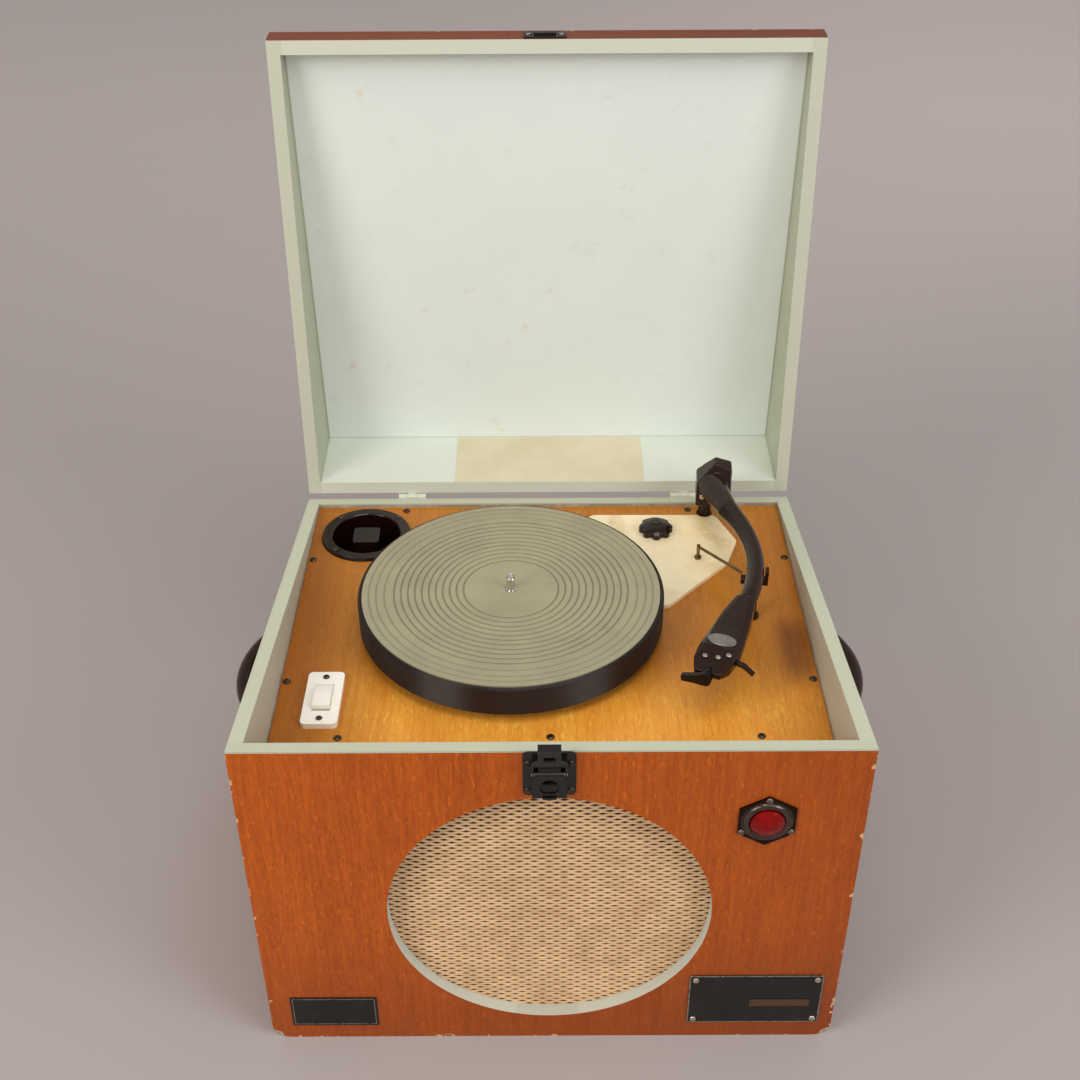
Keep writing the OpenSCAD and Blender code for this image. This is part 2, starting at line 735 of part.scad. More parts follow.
module unit_plate() {
    color("ivory") in_case() difference() {
        union() {
            translate([0, 0, deck_z]) linear_extrude(plate_t) plate_outline();
            // Pressed ridges
            translate([0, 0, plate_z - eps]) {
                translate([pillar_x - 58.5, pillar_y - 67, 0]) rotate([0, 0, 128]) cube([44, 2.5, 0.8]);
                translate([pillar_x + 3.5, pillar_y - 29, 0]) rotate([0, 0, 190]) cube([34, 2.5, 0.8]);
                translate([pillar_x + 1.5, pillar_y - 73, 0]) rotate([0, 0, 205]) cube([30, 2.5, 0.8]);
            }
        }
        translate([platter_x, platter_y, deck_z - 1]) cylinder(h = plate_t + 2, r = bearing_r + fit);
        translate([motor_at[0], motor_at[1], deck_z - 1]) cylinder(h = plate_t + 2, r = 9);
        translate([idler_at[0], idler_at[1], deck_z - 1]) cylinder(h = plate_t + 2, r = post_r + fit);
        translate([speed_x, speed_y, deck_z - 1]) cylinder(h = plate_t + 2, r = speed_shaft_r + fit);
        translate([pillar_x, pillar_y, deck_z - 1]) cylinder(h = plate_t + 2, r = pillar_stub_r + hole_gap);
        translate([trip_x, trip_y, deck_z - 1]) cylinder(h = plate_t + 2, r = trip_pin_r + fit);
        unit_screw_places() small_hole();
        motor_bolt_places() translate([0, 0, -15]) cylinder(h = 20, r = bolt_r + hole_gap);
    }
}
module about_platter() { in_case() translate([platter_x, platter_y, 0]) children(); }
module platter() {
    bead = 1.2;
    color([0.16, 0.09, 0.07]) about_platter() rotate_extrude($fn = 128)
        polygon([[shaft_r + fit, hub_foot], [hub_r, hub_foot], [hub_r, disc_under], [inner_rim_r, disc_under],
            [inner_rim_r, rim_foot], [platter_r - bead, rim_foot], [platter_r, rim_foot + bead],
            [platter_r, rim_top - bead], [platter_r - bead, rim_top], [inner_rim_r, rim_top],
            [inner_rim_r, disc_top], [shaft_r + fit, disc_top]]);
}
// Grooves of the mat as radii, then the width and depth of each
groove_at = [for (r = [39:5.8:98]) r];
faint_groove_at = [105, 112, 118];
groove_w = 1.6;
groove_d = 0.8;
module platter_mat() {
    color([0.5, 0.49, 0.4]) about_platter() difference() {
        ring(disc_top, mat_top, shaft_r + 0.4, mat_r, $fn = 128);
        for (r = groove_at) ring(mat_top - groove_d, mat_top + 1, r, r + groove_w, $fn = 96);
        for (r = faint_groove_at) ring(mat_top - groove_d / 2, mat_top + 1, r, r + groove_w, $fn = 96);
    }
}
module spindle() {
    nose = 4;
    color("silver") about_platter() {
        translate([0, 0, bearing_foot + flange_t + near])
            cylinder(h = mat_top - bearing_foot - flange_t - near, r = shaft_r);
        translate([0, 0, mat_top - eps]) cylinder(h = spindle_up - nose + eps, r = spindle_r);
        translate([0, 0, mat_top + spindle_up - nose - eps])
            cylinder(h = nose, r1 = spindle_r, r2 = spindle_r * 0.45);
    }
}
module bearing_housing() {
    color("goldenrod") about_platter() difference() {
        union() {
            translate([0, 0, bearing_foot]) cylinder(h = bearing_l + plate_t + 6, r = bearing_r);
            translate([0, 0, deck_z - flange_t]) cylinder(h = flange_t, r = flange_r);
        }
        translate([0, 0, bearing_foot + flange_t]) cylinder(h = bearing_l + 30, r = shaft_r + fit);
    }
}
module at_motor() { in_case() translate([motor_at[0], motor_at[1], 0]) children(); }
module motor_body() {
    foot = motor_top - motor_h;
    color("slategray") difference() {
        union() {
            at_motor() rotate_extrude($fn = 64) polygon([[motor_shaft_r + fit, foot], [motor_r - 6, foot],
                [motor_r, foot + 6], [motor_r, motor_top - 6], [motor_r - 6,
                    motor_top], [motor_shaft_r + fit, motor_top],
                [motor_shaft_r + fit, motor_top - 6], [rotor_r + 1, motor_top - 6], [rotor_r + 1, foot + 6],
                [motor_shaft_r + fit, foot + 6]]);
            in_case() motor_bolt_places() translate([0, 0, motor_top - 3 - plate_z])
                cylinder(h = deck_z - motor_top + 3, r = 5);
        }
        in_case() motor_bolt_places() translate([0, 0, -13]) cylinder(h = 20, r = bolt_r + hole_gap);
    }
}
module motor_spindle() {
    foot = motor_top - motor_h;
    step0 = idler_z - 1;
    color("silver") at_motor() {
        translate([0, 0, foot]) cylinder(h = step0 - foot + eps, r = motor_shaft_r);
        translate([0, 0, foot + 8]) cylinder(h = motor_h - 16, r = rotor_r);
        translate([0, 0, step0]) cylinder(h = idler_t + 2, r = pulley_r);
        translate([0, 0, step0 + idler_t + 2 - eps]) cylinder(h = step_h, r = pulley_r * 45 / 78);
        translate([0, 0, step0 + idler_t + 2 + step_h - 2 * eps])
            cylinder(h = step_h, r = pulley_r * 33.3 / 78);
    }
}
module at_idler() { in_case() translate([idler_at[0], idler_at[1], 0]) children(); }
module idler_wheel() {
    color([0.15, 0.15, 0.15]) at_idler() difference() {
        union() {
            translate([0, 0, idler_z]) cylinder(h = idler_t, r = idler_r);
            translate([0, 0, idler_z]) cylinder(h = idler_t + 1.5, r = 6);
        }
        translate([0, 0, idler_z - 1]) cylinder(h = idler_t + 5, r = post_r + fit);
    }
}
module idler_arm() {
    color("darkgray") in_case() {
        difference() {
            union() {
                translate([idler_at[0], idler_at[1], carrier_z]) cylinder(h = carrier_t, r = 6);
                translate([speed_x, speed_y, carrier_z]) cylinder(h = carrier_t, r = 7);
                translate([idler_at[0], idler_at[1], carrier_z]) rotate([0, 0, idler_turn])
                    translate([0, -5, 0]) cube([speed_out - idler_out, 10, carrier_t]);
            }
            translate([speed_x, speed_y, carrier_z - 1]) cylinder(h = carrier_t + 2, r = speed_shaft_r + fit);
        }
        translate([idler_at[0], idler_at[1], carrier_z]) {
            cylinder(h = idler_z + idler_t + 3 - carrier_z, r = post_r);
            translate([0, 0, idler_z - 2 - carrier_z]) cylinder(h = 2 - near, r = 4);
            translate([0, 0, idler_z + idler_t + 1.5 + near - carrier_z]) cylinder(h = 1, r = 4);
        }
    }
}
module speed_knob() {
    top = plate_z + 10;
    lobe_r = speed_r * 0.24;
    color([0.08, 0.07, 0.07]) in_case() translate([speed_x, speed_y, 0]) {
        translate([0, 0, carrier_z - 4]) cylinder(h = plate_z + 2 - carrier_z + 4, r = speed_shaft_r);
        translate([0, 0, carrier_z - 4]) cylinder(h = 4 - near, r = 8);
        intersection() {
            translate([0, 0, plate_z + near]) union() {
                cylinder(h = top - plate_z - near, r = speed_r * 0.82);
                for (a = [0:45:315]) translate(concat(polar(speed_r - lobe_r, a), 0))
                    cylinder(h = top - plate_z - near, r = lobe_r);
            }
            translate([0, 0, top - 26]) sphere(26);
        }
        // Button in the middle
        translate([0, 0, top - 2]) cylinder(h = 3, r1 = speed_r * 0.36, r2 = speed_r * 0.28);
    }
}

// Controls
module about_cup() { in_case() translate([cup_x, cup_y, 0]) children(); }
module control_cup() {
    out = cup_r + cup_wall;
    color([0.07, 0.06, 0.06]) difference() {
        about_cup() rotate_extrude($fn = 96)
            polygon([[knob_shaft_r + fit, cup_floor - cup_wall], [out, cup_floor - cup_wall], [out, deck_z],
                [cup_flange_r, deck_z], [cup_flange_r - 1.5, deck_z + cup_lip], [cup_r + 1, deck_z + cup_lip],
                [cup_r, deck_z + cup_lip - 1], [cup_r, cup_floor], [knob_shaft_r + fit, cup_floor]]);
        in_case() cup_screw_places() small_hole();
    }
}
module volume_knob() {
    knob_h = cup_depth + 1;
    color([0.07, 0.06, 0.06]) about_cup() {
        translate([0, 0, cup_floor - 10]) cylinder(h = 12, r = knob_shaft_r);
        translate([0, 0, cup_floor - 10]) cylinder(h = 10 - cup_wall - near, r = 9);
        translate([0, 0, cup_floor + near]) cylinder(h = 7, r = 19);
        translate([0, 0, cup_floor + 7]) linear_extrude(knob_h - 7) polygon(rounded(box_outline(24, 24), 3));
    }
}
module switch_outline() { polygon(rounded(box_outline(switch_w, switch_l), 4)); }
module switch_plate() {
    body_l = rocker_l + 4;
    color("ivory") in_case() difference() {
        union() {
            translate([switch_x, switch_y, deck_z]) linear_extrude(switch_t) switch_outline();
            block([switch_x - rocker_w / 2 - 3, switch_y - body_l / 2, deck_z - 20],
                [switch_x + rocker_w / 2 + 3, switch_y + body_l / 2, deck_z + eps]);
        }
        block([switch_x - rocker_w / 2 - rocker_gap / 2, switch_y - rocker_l / 2 - rocker_gap, deck_z - 12],
            [switch_x + rocker_w / 2 + rocker_gap / 2, switch_y + rocker_l / 2 + rocker_gap,
                deck_z + switch_t + 1]);
        rod_x(switch_x - rocker_w / 2 - 2, switch_x + rocker_w / 2 + 2, switch_y, rocker_z,
            rocker_pin_r + fit);
        switch_screw_places() small_hole();
    }
}
module switch_rocker() {
    half = rocker_l / 2 - 1;
    color("ivory") in_case() translate([switch_x, switch_y, rocker_z]) rotate([-rocker_tilt, 0, 0]) {
        translate([-rocker_w / 2, 0, 0]) rotate([90, 0, 90]) linear_extrude(rocker_w)
            polygon([[-half + 4, -6], [half - 4, -6], [half, 0], [half, 4.5], [4, 6], [-4, 6], [-half, 4.5],
                [-half, 0]]);
        rod_x(-rocker_w / 2 - 1.5, rocker_w / 2 + 1.5, 0, 0, rocker_pin_r);
    }
}

// Arm
module at_pillar() { in_case() translate([pillar_x, pillar_y, 0]) children(); }
module arm_pillar() {
    color([0.15, 0.08, 0.06]) at_pillar() {
        translate([0, 0, deck_under]) cylinder(h = plate_z - deck_under + 1, r = pillar_stub_r);
        translate([0, 0, plate_z]) cylinder(h = 5, r1 = pillar_r + 2, r2 = pillar_r);
        translate([0, 0, plate_z + 5 - eps]) cylinder(h = yoke_foot - plate_z - 5 - near, r = pillar_r);
        translate([0, 0, plate_z]) cylinder(h = axle_z - axle_r - 1 - plate_z, r = pillar_pin_r);
    }
}
yoke_foot = deck_z + 20;
module leaned() { at_pillar() translate([0, 0, axle_z]) rotate([0, 0, arm_lean]) children(); }
module arm_yoke() {
    color("silver") {
        difference() {
            at_pillar() translate([0, 0, yoke_foot]) cylinder(h = axle_z + 5 - yoke_foot, r = yoke_r);
            at_pillar() translate([0, 0, yoke_foot - 1])
                cylinder(h = axle_z - axle_r - 0.7 - yoke_foot + 1, r = pillar_pin_r + fit);
        }
        leaned() rod_x(-axle_left, axle_right, 0, 0, axle_r);
    }
}
// Angular rear block: a front outline and a side outline that cut each other
module housing_block() {
    top = housing_top - axle_z;
    foot = housing_foot - axle_z;
    leaned() intersection() {
        translate([0, 20, 0]) rotate([90, 0, 0]) linear_extrude(60)
            polygon([[-housing_left, foot], [-housing_left, top - 16], [housing_left - 2, top],
                [housing_right, top - 5], [housing_right - 1, foot]]);
        translate([-housing_left - 1, 0, 0]) rotate([90, 0, 90])
            linear_extrude(housing_left + housing_right + 2)
            polygon([[-18, foot], [-19, top - 20], [-5, top], [7, top], [cave + 3, top - 9],
                [cave + 3, foot]]);
    }
}
module tonearm() {
    color([0.15, 0.08, 0.06]) difference() {
        union() {
            housing_block();
            in_case() translate([bend_start[0], bend_start[1], arm_z])
                rotate([-90 - neck_dip, 0, neck_turn]) {
                // Ball that joins the bend to the falling neck
                sphere(arm_r + ball_over);
                cylinder(h = neck_l, r1 = arm_r, r2 = neck_r);
            }
            in_case() translate([bend_mid[0], bend_mid[1], arm_z]) rotate([0, 0, -in_turn])
                rotate_extrude(angle = in_turn + out_turn, $fn = 96) translate([bend_r, 0])
                    circle(arm_r, $fn = 32);
        }
        leaned() {
            block([-cave, -cave - 2, housing_foot - axle_z - 9], [cave, cave, 7]);
            // Open at the back so that the housing can tip
            block([-cave, 0, housing_foot - axle_z - 9], [cave, cave + 9, 1]);
            rod_x(-axle_left - near, axle_right + near, 0, 0, axle_r + fit);
        }
        arm_screw_holes();
    }
}
// Drawn with its back face at Y = 0 and the head pointing to -Y
module at_head() {
    in_case() translate([head_start[0], head_start[1], 0]) rotate([0, 0, -in_turn]) children();
}
screw_y = -head_l + 14;
head_screw_at = [[-6.5, screw_y], [3.5, screw_y + 1.5], [10.5, screw_y + 6]];
// The head is widest at the first of these places along it and has narrowed a little at the second.
head_wide_at = 0.68;
head_end_at = 0.87;
head_end_half = head_half * 0.88;
module head_outline() {
    w = head_half;
    right = [[w * 0.72, -head_l * 0.24], [w * 0.9, -head_l * 0.5], [w, -head_l * head_wide_at],
        [head_end_half, -head_l * head_end_at], [w * 0.6, -head_l]];
    left = [for (i = [len(right) - 1:-1:0]) [-right[i][0], right[i][1]]];
    polygon(concat([[-arm_r - 0.5, 0], [arm_r + 0.5, 0]], right, left));
}
// Height of the head's top, which falls away over the nose
nose_y = -head_l * 0.72;
nose_slope = 0.2;
function nose_z(y) = head_top - max(0, nose_y - y) * nose_slope;
module head_shell() {
    half = head_half + 1;
    waist = head_foot + 6;
    color([0.15, 0.08, 0.06]) at_head() difference() {
        intersection() {
            translate([0, 0, head_foot - 1]) linear_extrude(head_top - head_foot + 6) head_outline();
            across([[0, arm_z - arm_r], [0, arm_z + arm_r], [-head_l * 0.45, head_top], [nose_y, head_top],
                [-head_l - 1, nose_z(-head_l - 1)], [-head_l - 1, head_foot + 3], [-head_l * 0.9, head_foot],
                [-head_l * 0.2, head_foot]], -half, half);
            translate([0, 1, 0]) rotate([90, 0, 0]) linear_extrude(head_l + 2)
                polygon([[-half, head_foot - 2], [half, head_foot - 2], [half, waist],
                    [head_half * 0.7, head_top],
                    [arm_r * 0.6, arm_z + arm_r], [-arm_r * 0.6, arm_z + arm_r], [-head_half * 0.7,
                        head_top], [-half, waist]]);
        }
        rod_y(0, stylus_z, -head_l - 1, -head_l * 0.6, head_bore);
        rod_y(0, stylus_z, tip_y - 2, tip_y + 2, tip_bore);
        block([-tip_bore, -head_l - 1, head_foot - 1], [tip_bore, -head_l * 0.6, stylus_z - 3]);
        rod_y(0, stylus_z, -head_l * 0.6 - 1, -head_l * 0.6 + 8, 2 + fit);
        for (p = head_screw_at) translate([p[0], p[1], nose_z(p[1]) - 1.7])
            cylinder(h = 10, r = small_r + hole_gap);
    }
}
badge_y = -head_l * 0.63;
module head_badge() {
    color("silver") at_head() translate([0, badge_y, head_top]) linear_extrude(0.8)
        polygon([for (a = [0:10:350]) [11.5 * cos(a), 7 * sin(a)]]);
}
// The screw on the housing's face
face_screw = [-4, -18.4, 2];
module arm_screw_holes() {
    leaned() translate(face_screw) rotate([90, 0, 0]) translate([0, 0, -2.5])
        cylinder(h = 6, r = small_r + hole_gap);
}
module arm_screws() {
    color("silver") {
        at_head() for (p = head_screw_at) translate([p[0], p[1], nose_z(p[1]) + 0.5])
            screw(2.2, 1.4, small_r, 1.9);
        leaned() translate(face_screw) rotate([90, 0, 0]) translate([0, 0, 0.8])
            screw(2.4, 1.2, small_r, 2.5);
    }
}
lift_y = -head_l * 0.75;
tip_y = -head_l + 26;
lever_outline = [[-18, -6.5], [-19, -1.5], [-10, 1.5], [0, 5], [5, 2], [5, -2], [0, -5.5], [-9, -5.5]];
module finger_lift() {
    side_turn = atan2(head_half - head_end_half, (head_end_at - head_wide_at) * head_l);
    side_x = head_half + (lift_y + head_wide_at * head_l) * tan(side_turn);
    color([0.15, 0.08, 0.06]) at_head() translate([side_x, lift_y, head_foot + 3]) rotate([0, 0, -side_turn])
        translate([0, 2, 0]) rotate([90, 0, 0]) linear_extrude(4)
        polygon(rounded([[0, 0], [0, 3.5], [6, 3], [15.5, -3], [14.5, -5], [6, -0.5]], 0.4, 2));
}
module stylus_holder() {
    color("dimgray") at_head() {
        rod_y(0, stylus_z, -head_l - 1.5, -head_l * 0.6 - 1, stylus_r);
        rod_y(0, stylus_z, -head_l * 0.6 - 1 - eps, -head_l * 0.6 + 6, 2);
        rod_y(0, stylus_z, -head_l - 6, -head_l - 1.5 + eps, 5.5);
        translate([0, tip_y, stylus_z - stylus_r - 1.2]) cylinder(h = 2, r1 = 0.4, r2 = 1);
        translate([0, tip_y, stylus_z + stylus_r - 0.8]) cylinder(h = 2, r1 = 1, r2 = 0.4);
        // Lever that turns the holder over
        translate([0, -head_l - 2, stylus_z]) rotate([90, 0, 0]) linear_extrude(4)
            polygon(rounded(lever_outline, 1.2, 3));
    }
}
module arm_rest() {
    top = arm_z - arm_r - near;
    color([0.15, 0.08, 0.06]) in_case() translate([rest_at[0], rest_at[1], 0]) {
        translate([0, 0, deck_under]) cylinder(h = deck_t + 1, r = rest_stub_r);
        translate([0, 0, deck_z]) cylinder(h = 2.5, r = 6.5);
        translate([0, 0, deck_z + 2]) cylinder(h = top - 4 - deck_z, r = 4);
        rotate([0, 0, rest_turn]) {
            block([-arm_r - 4, -4, top - 4], [arm_r + 3, 4, top]);
            block([arm_r + near + 0.5, -4, top - 4], [arm_r + near + 3.5, 4, arm_z + 2]);
        }
    }
}
module trip_rod() {
    run = trip_end - [trip_x, trip_y];
    color([0.12, 0.1, 0.1]) in_case() translate([trip_x, trip_y, 0]) {
        translate([0, 0, deck_z - 6]) cylinder(h = trip_z + 2 - deck_z + 6, r = trip_pin_r);
        translate([0, 0, deck_z - 6]) cylinder(h = 6 - near, r = trip_collar_r);
        translate([0, 0, plate_z + near]) cylinder(h = 2, r = trip_collar_r);
        translate([0, 0, trip_z]) rotate([0, 90, atan2(run[1], run[0])]) cylinder(h = norm(run), r = 1.3);
    }
}

// Catch, drawn about the middle of its plate
module at_latch() { on_front() translate([latch_x, 0, 0]) children(); }
module latch_plate() {
    ear_at = knuckle_half + near;
    color([0.06, 0.06, 0.06]) difference() {
        union() {
            at_latch() translate([0, latch_foot + latch_h / 2, 0]) linear_extrude(latch_t)
                polygon(rounded(box_outline(latch_w, latch_h), 4));
            for (s = [-1, 1]) at_latch() translate([s * (ear_at + ear_w / 2) - ear_w / 2, 0, 0]) {
                rod_x(0, ear_w, lever_pin_z, lever_pin_out, barrel_r);
                block([0, lever_pin_z - barrel_r, latch_t - eps],
                    [ear_w, lever_pin_z + barrel_r, lever_pin_out]);
            }
        }
        on_front() latch_screw_places() small_hole();
        at_latch() rod_x(-latch_w / 2, latch_w / 2, lever_pin_z, lever_pin_out, pin_r + fit);
    }
}
module latch_lever() {
    foot = latch_foot + 4.5;
    shoulder = claw_pin_z - eye_r - 0.6;
    web = 1.5 * unit([lever_pin_out - claw_pin_out, claw_pin_z - lever_pin_z]);
    color([0.08, 0.08, 0.08]) at_latch() difference() {
        union() {
            rod_x(-knuckle_half, knuckle_half, lever_pin_z, lever_pin_out, barrel_r);
            rod_x(-knuckle_half - ear_w, knuckle_half + ear_w, lever_pin_z, lever_pin_out, pin_r);
            rod_x(-cheek_half, cheek_half, claw_pin_z, claw_pin_out, eye_r);
            // Web between the two barrels
            across([[lever_pin_z + web[0], lever_pin_out + web[1]],
                [lever_pin_z - web[0], lever_pin_out - web[1]],
                [claw_pin_z - web[0], claw_pin_out - web[1]], [claw_pin_z + web[0], claw_pin_out + web[1]]],
                -knuckle_half, knuckle_half);
            // Finger tab with its sides and foot turned
            block([-cheek_half, shoulder - 1, claw_pin_out - 1], [cheek_half, claw_pin_z, claw_pin_out + 1]);
            block([-tab_half, foot, claw_pin_out - 1], [tab_half, shoulder, claw_pin_out + 1]);
            for (s = [-1, 1]) block([s * (tab_half - 0.7) - 0.7, foot, latch_t + 1.4],
                [s * (tab_half - 0.7) + 0.7, shoulder, claw_pin_out]);
            block([-5, foot, claw_pin_out], [5, foot + 1.5, claw_pin_out + 2.5]);
        }
        rod_x(-tab_half, tab_half, claw_pin_z, claw_pin_out, pin_r + fit);
        // Round-topped opening for a finger
        translate([0, foot + 10.5, 0]) linear_extrude(claw_pin_out + 5) intersection() {
            circle(7);
            translate([-8, -6]) square([16, 14]);
        }
    }
}
module latch_pin() {
    color("gray") at_latch() rod_x(-tab_half - 0.5, tab_half + 0.5, claw_pin_z, claw_pin_out, pin_r);
}
claw_l = front_h + 12.6 - claw_pin_z;
claw_t = 1.4;
module latch_claw() {
    band = 11;
    color([0.08, 0.08, 0.08]) at_latch() translate([0, claw_pin_z, claw_pin_out]) rotate([claw_lean, 0, 0])
        difference() {
        union() {
            for (s = [-1, 1]) translate([s * (claw_arm + claw_t / 2) - claw_t / 2, 0, 0]) {
                rod_x(0, claw_t, 0, 0, eye_r);
                block([0, 0, -claw_t], [claw_t, band + 1, claw_t]);
            }
            block([-claw_arm - claw_t, band, -claw_t / 2], [claw_arm + claw_t, band + 3.5, claw_t / 2]);
            block([-claw_half, band, -claw_t / 2], [claw_half, claw_l, claw_t / 2]);
            // Hook that reaches over the keeper
            block([-claw_half, claw_l - 1.6, latch_t + near - claw_pin_out], [claw_half, claw_l, 0]);
        }
        rod_x(-tab_half - 1, tab_half + 1, 0, 0, pin_r + fit);
        block([-4, band + 5, -claw_t], [4, band + 10.5, claw_t]);
    }
}
keeper_foot = front_h + 3;
keeper_h = 13;
// Height of the keeper's lip, which the hook just clears
lip_top = claw_pin_z + claw_l - 1.6 - near;
lip_h = 4;
module latch_keeper() {
    color([0.08, 0.08, 0.08]) opened_front() difference() {
        union() {
            translate([latch_x, keeper_foot + keeper_h / 2, 0]) linear_extrude(latch_t)
                polygon(rounded(box_outline(keeper_w, keeper_h), 2));
            block([latch_x - claw_half - 1, lip_top - lip_h, latch_t - eps],
                [latch_x + claw_half + 1, lip_top, latch_t + 1.8]);
        }
        keeper_screw_places() small_hole();
    }
}
module opened_front() {
    opened() rotate([90, 0, 0]) children();
}
module keeper_screw_places() {
    for (s = [-1, 1]) translate([latch_x + s * (keeper_w / 2 - 4), keeper_foot + keeper_h / 2, latch_t])
        children();
}

// Hinges, drawn about their axis with the knuckles along X
knuckle_gap = 0.2;
module knuckles(at) {
    for (k = at) rod_x((k - 1.5) * hinge_w / 3 + knuckle_gap / 2, (k - 0.5) * hinge_w / 3 - knuckle_gap / 2,
        0, 0, knuckle_r);
}
module leaf(up, at) {
    back = case_d - hinge_y;
    s = up ? 1 : -1;
    web = s * (knuckle_r + 2);
    near_end = s * (knuckle_r + 0.5);
    far_end = s * (knuckle_r + leaf_h);
    difference() {
        union() {
            knuckles(at);
            block([-hinge_w / 2, back, min(near_end, far_end)],
                [hinge_w / 2, back + leaf_t, max(near_end, far_end)]);
            for (k = at) block([(k - 1.5) * hinge_w / 3 + knuckle_gap / 2, back, min(0, web)],
                [(k - 0.5) * hinge_w / 3 - knuckle_gap / 2, back + leaf_t + 0.6, max(0, web)]);
        }
        rod_x(-hinge_w, hinge_w, 0, 0, hinge_pin_r + fit);
    }
}
module at_hinges() { for (s = [-1, 1]) translate([s * hinge_x, hinge_y, hinge_z]) children(); }
module case_hinge_leaves() {
    color([0.55, 0.57, 0.5]) in_case() difference() {
        at_hinges() leaf(false, [0, 2]);
        leaf_screw_places(hinge_z - leaf_screw_drop) small_hole();
    }
}
module lid_hinge_leaves() {
    color([0.55, 0.57, 0.5]) opened() difference() {
        at_hinges() leaf(true, [1]);
        leaf_screw_places(hinge_z + leaf_screw_drop) small_hole();
    }
}
module hinge_pins() { at_hinges() rod_x(-hinge_w / 2, hinge_w / 2, 0, 0, hinge_pin_r); }

// Handles
module handle_places() {
    in_case() for (s = [-1, 1]) translate([s * case_w / 2, handle_y, handle_z])
        rotate([0, 0, s > 0 ? 0 : 180]) children();
}
// Radius of the handle's bow, its half angle, and the half angle that the grip covers
bow_rise = handle_out - grip_t / 2;
bow_r = (handle_l * handle_l / 4 + bow_rise * bow_rise) / (2 * bow_rise);
bow_arc = asin(handle_l / 2 / bow_r);
grip_arc = bow_arc - 15;
ring_arc = 2.5;
// A length of the bow between two angles
module bow(from, to, r) {
    translate([bow_rise - bow_r, 0, 0]) rotate([0, 0, from]) rotate_extrude(angle = to - from)
        translate([bow_r, 0]) circle(r);
}
module carrying_handles() {
    color([0.17, 0.08, 0.05]) handle_places() bow(-grip_arc, grip_arc, grip_t / 2);
}
module handle_brackets() {
    shank_r = grip_t / 2 - 2;
    color([0.2, 0.12, 0.09]) difference() {
        handle_places() for (s = [-1, 1]) {
            intersection() {
                union() {
                    // Ring round the end of the grip, and the shank beyond it
                    bow(min(s * grip_arc, s * (grip_arc + ring_arc)),
                        max(s * grip_arc, s * (grip_arc + ring_arc)),
                        grip_t / 2 + 1);
                    bow(min(s * (grip_arc + 1), s * (bow_arc + 8)),
                        max(s * (grip_arc + 1), s * (bow_arc + 8)),
                        shank_r);
                }
                block([0, -handle_l, -grip_t], [handle_out + 2, handle_l, grip_t]);
            }
            block([0, s > 0 ? handle_l / 2 - 12 : -handle_l / 2 - 15, -7],
                [foot_t, s > 0 ? handle_l / 2 + 15 : -handle_l / 2 + 12, 7]);
        }
        in_case() handle_screw_places() small_hole();
    }
}

// Lamp and plates
ring_t = 3;
ring_sunk = 0.6;
module lamp_bezel() {
    r = lamp_flat / 2 / cos(30);
    color([0.2, 0.13, 0.09]) on_front() difference() {
        union() {
            translate([lamp_x, lamp_z, 0]) rotate([0, 0, 30]) cylinder(h = lamp_plate_t, r = r, $fn = 6);
            // Domed ring round the lens
            translate([lamp_x, lamp_z, lamp_plate_t - ring_sunk]) rotate_extrude($fn = 64)
                translate([lens_r + ring_t - 0.3, 0]) circle(ring_t);
        }
        translate([lamp_x, lamp_z, -1]) cylinder(h = 10, r = lens_r + near);
        translate([lamp_x, lamp_z, -8]) cylinder(h = 8, r = lamp_flat);
        lamp_screw_places() small_hole();
    }
}
module lamp_lens() {
    bulge = 18;
    color("red") on_front() translate([lamp_x, lamp_z, 0]) {
        cylinder(h = 4, r = lens_r);
        intersection() {
            translate([0, 0, 3]) cylinder(h = 8, r = lens_r);
            translate([0, 0, 9 - bulge]) sphere(bulge);
        }
    }
}
holder_l = 21;
module lamp_holder() {
    color("silver") on_front() translate([lamp_x, lamp_z, -holder_l]) {
        difference() {
            cylinder(h = holder_l, r = lens_r);
            translate([0, 0, 2]) cylinder(h = holder_l, r = lens_r - 1);
        }
        cylinder(h = 8, r = 5);
        translate([0, 0, 8 - eps]) cylinder(h = 4, r = 4);
        translate([0, 0, 12 - 2 * eps]) sphere(4);
    }
}
module name_plates() {
    color([0.07, 0.06, 0.06]) on_front() {
        translate([label_x, label_z, 0]) linear_extrude(0.8) polygon(box_outline(label_w, label_h));
        difference() {
            union() {
                translate([badge_x, badge_z, 0]) linear_extrude(trim_t)
                    polygon(rounded(box_outline(badge_w, badge_h), 2));
                translate([badge_x + 20, badge_z - 4, trim_t - eps]) linear_extrude(0.5)
                    polygon(box_outline(48, 8));
            }
            badge_screw_places() small_hole();
        }
    }
}

// Lid
module lid_frame() {
    color("peru") difference() {
        opened() lid_wedge(-case_w / 2, case_w / 2, 0, case_d);
        opened() block([-in_w / 2, wall, 0], [in_w / 2, case_d - wall, closed_h + 1]);
        opened() leaf_screw_places(hinge_z + leaf_screw_drop) small_hole();
        opened_front() keeper_screw_places() small_hole();
    }
}
module lid_panel() {
    color("sienna") opened() block([-case_w / 2, 0, lid_ceiling], [case_w / 2, case_d, closed_h]);
}
module lid_label() {
    y = case_d - wall;
    color("wheat") opened() block([-89, y - 0.3, rim_z(y) + rim_gap + 1], [92, y, lid_ceiling - 1]);
}
module lid_screws() {
    color("gray") {
        opened() leaf_screw_places(hinge_z + leaf_screw_drop) small_screw();
        opened_front() keeper_screw_places() small_screw();
    }
}

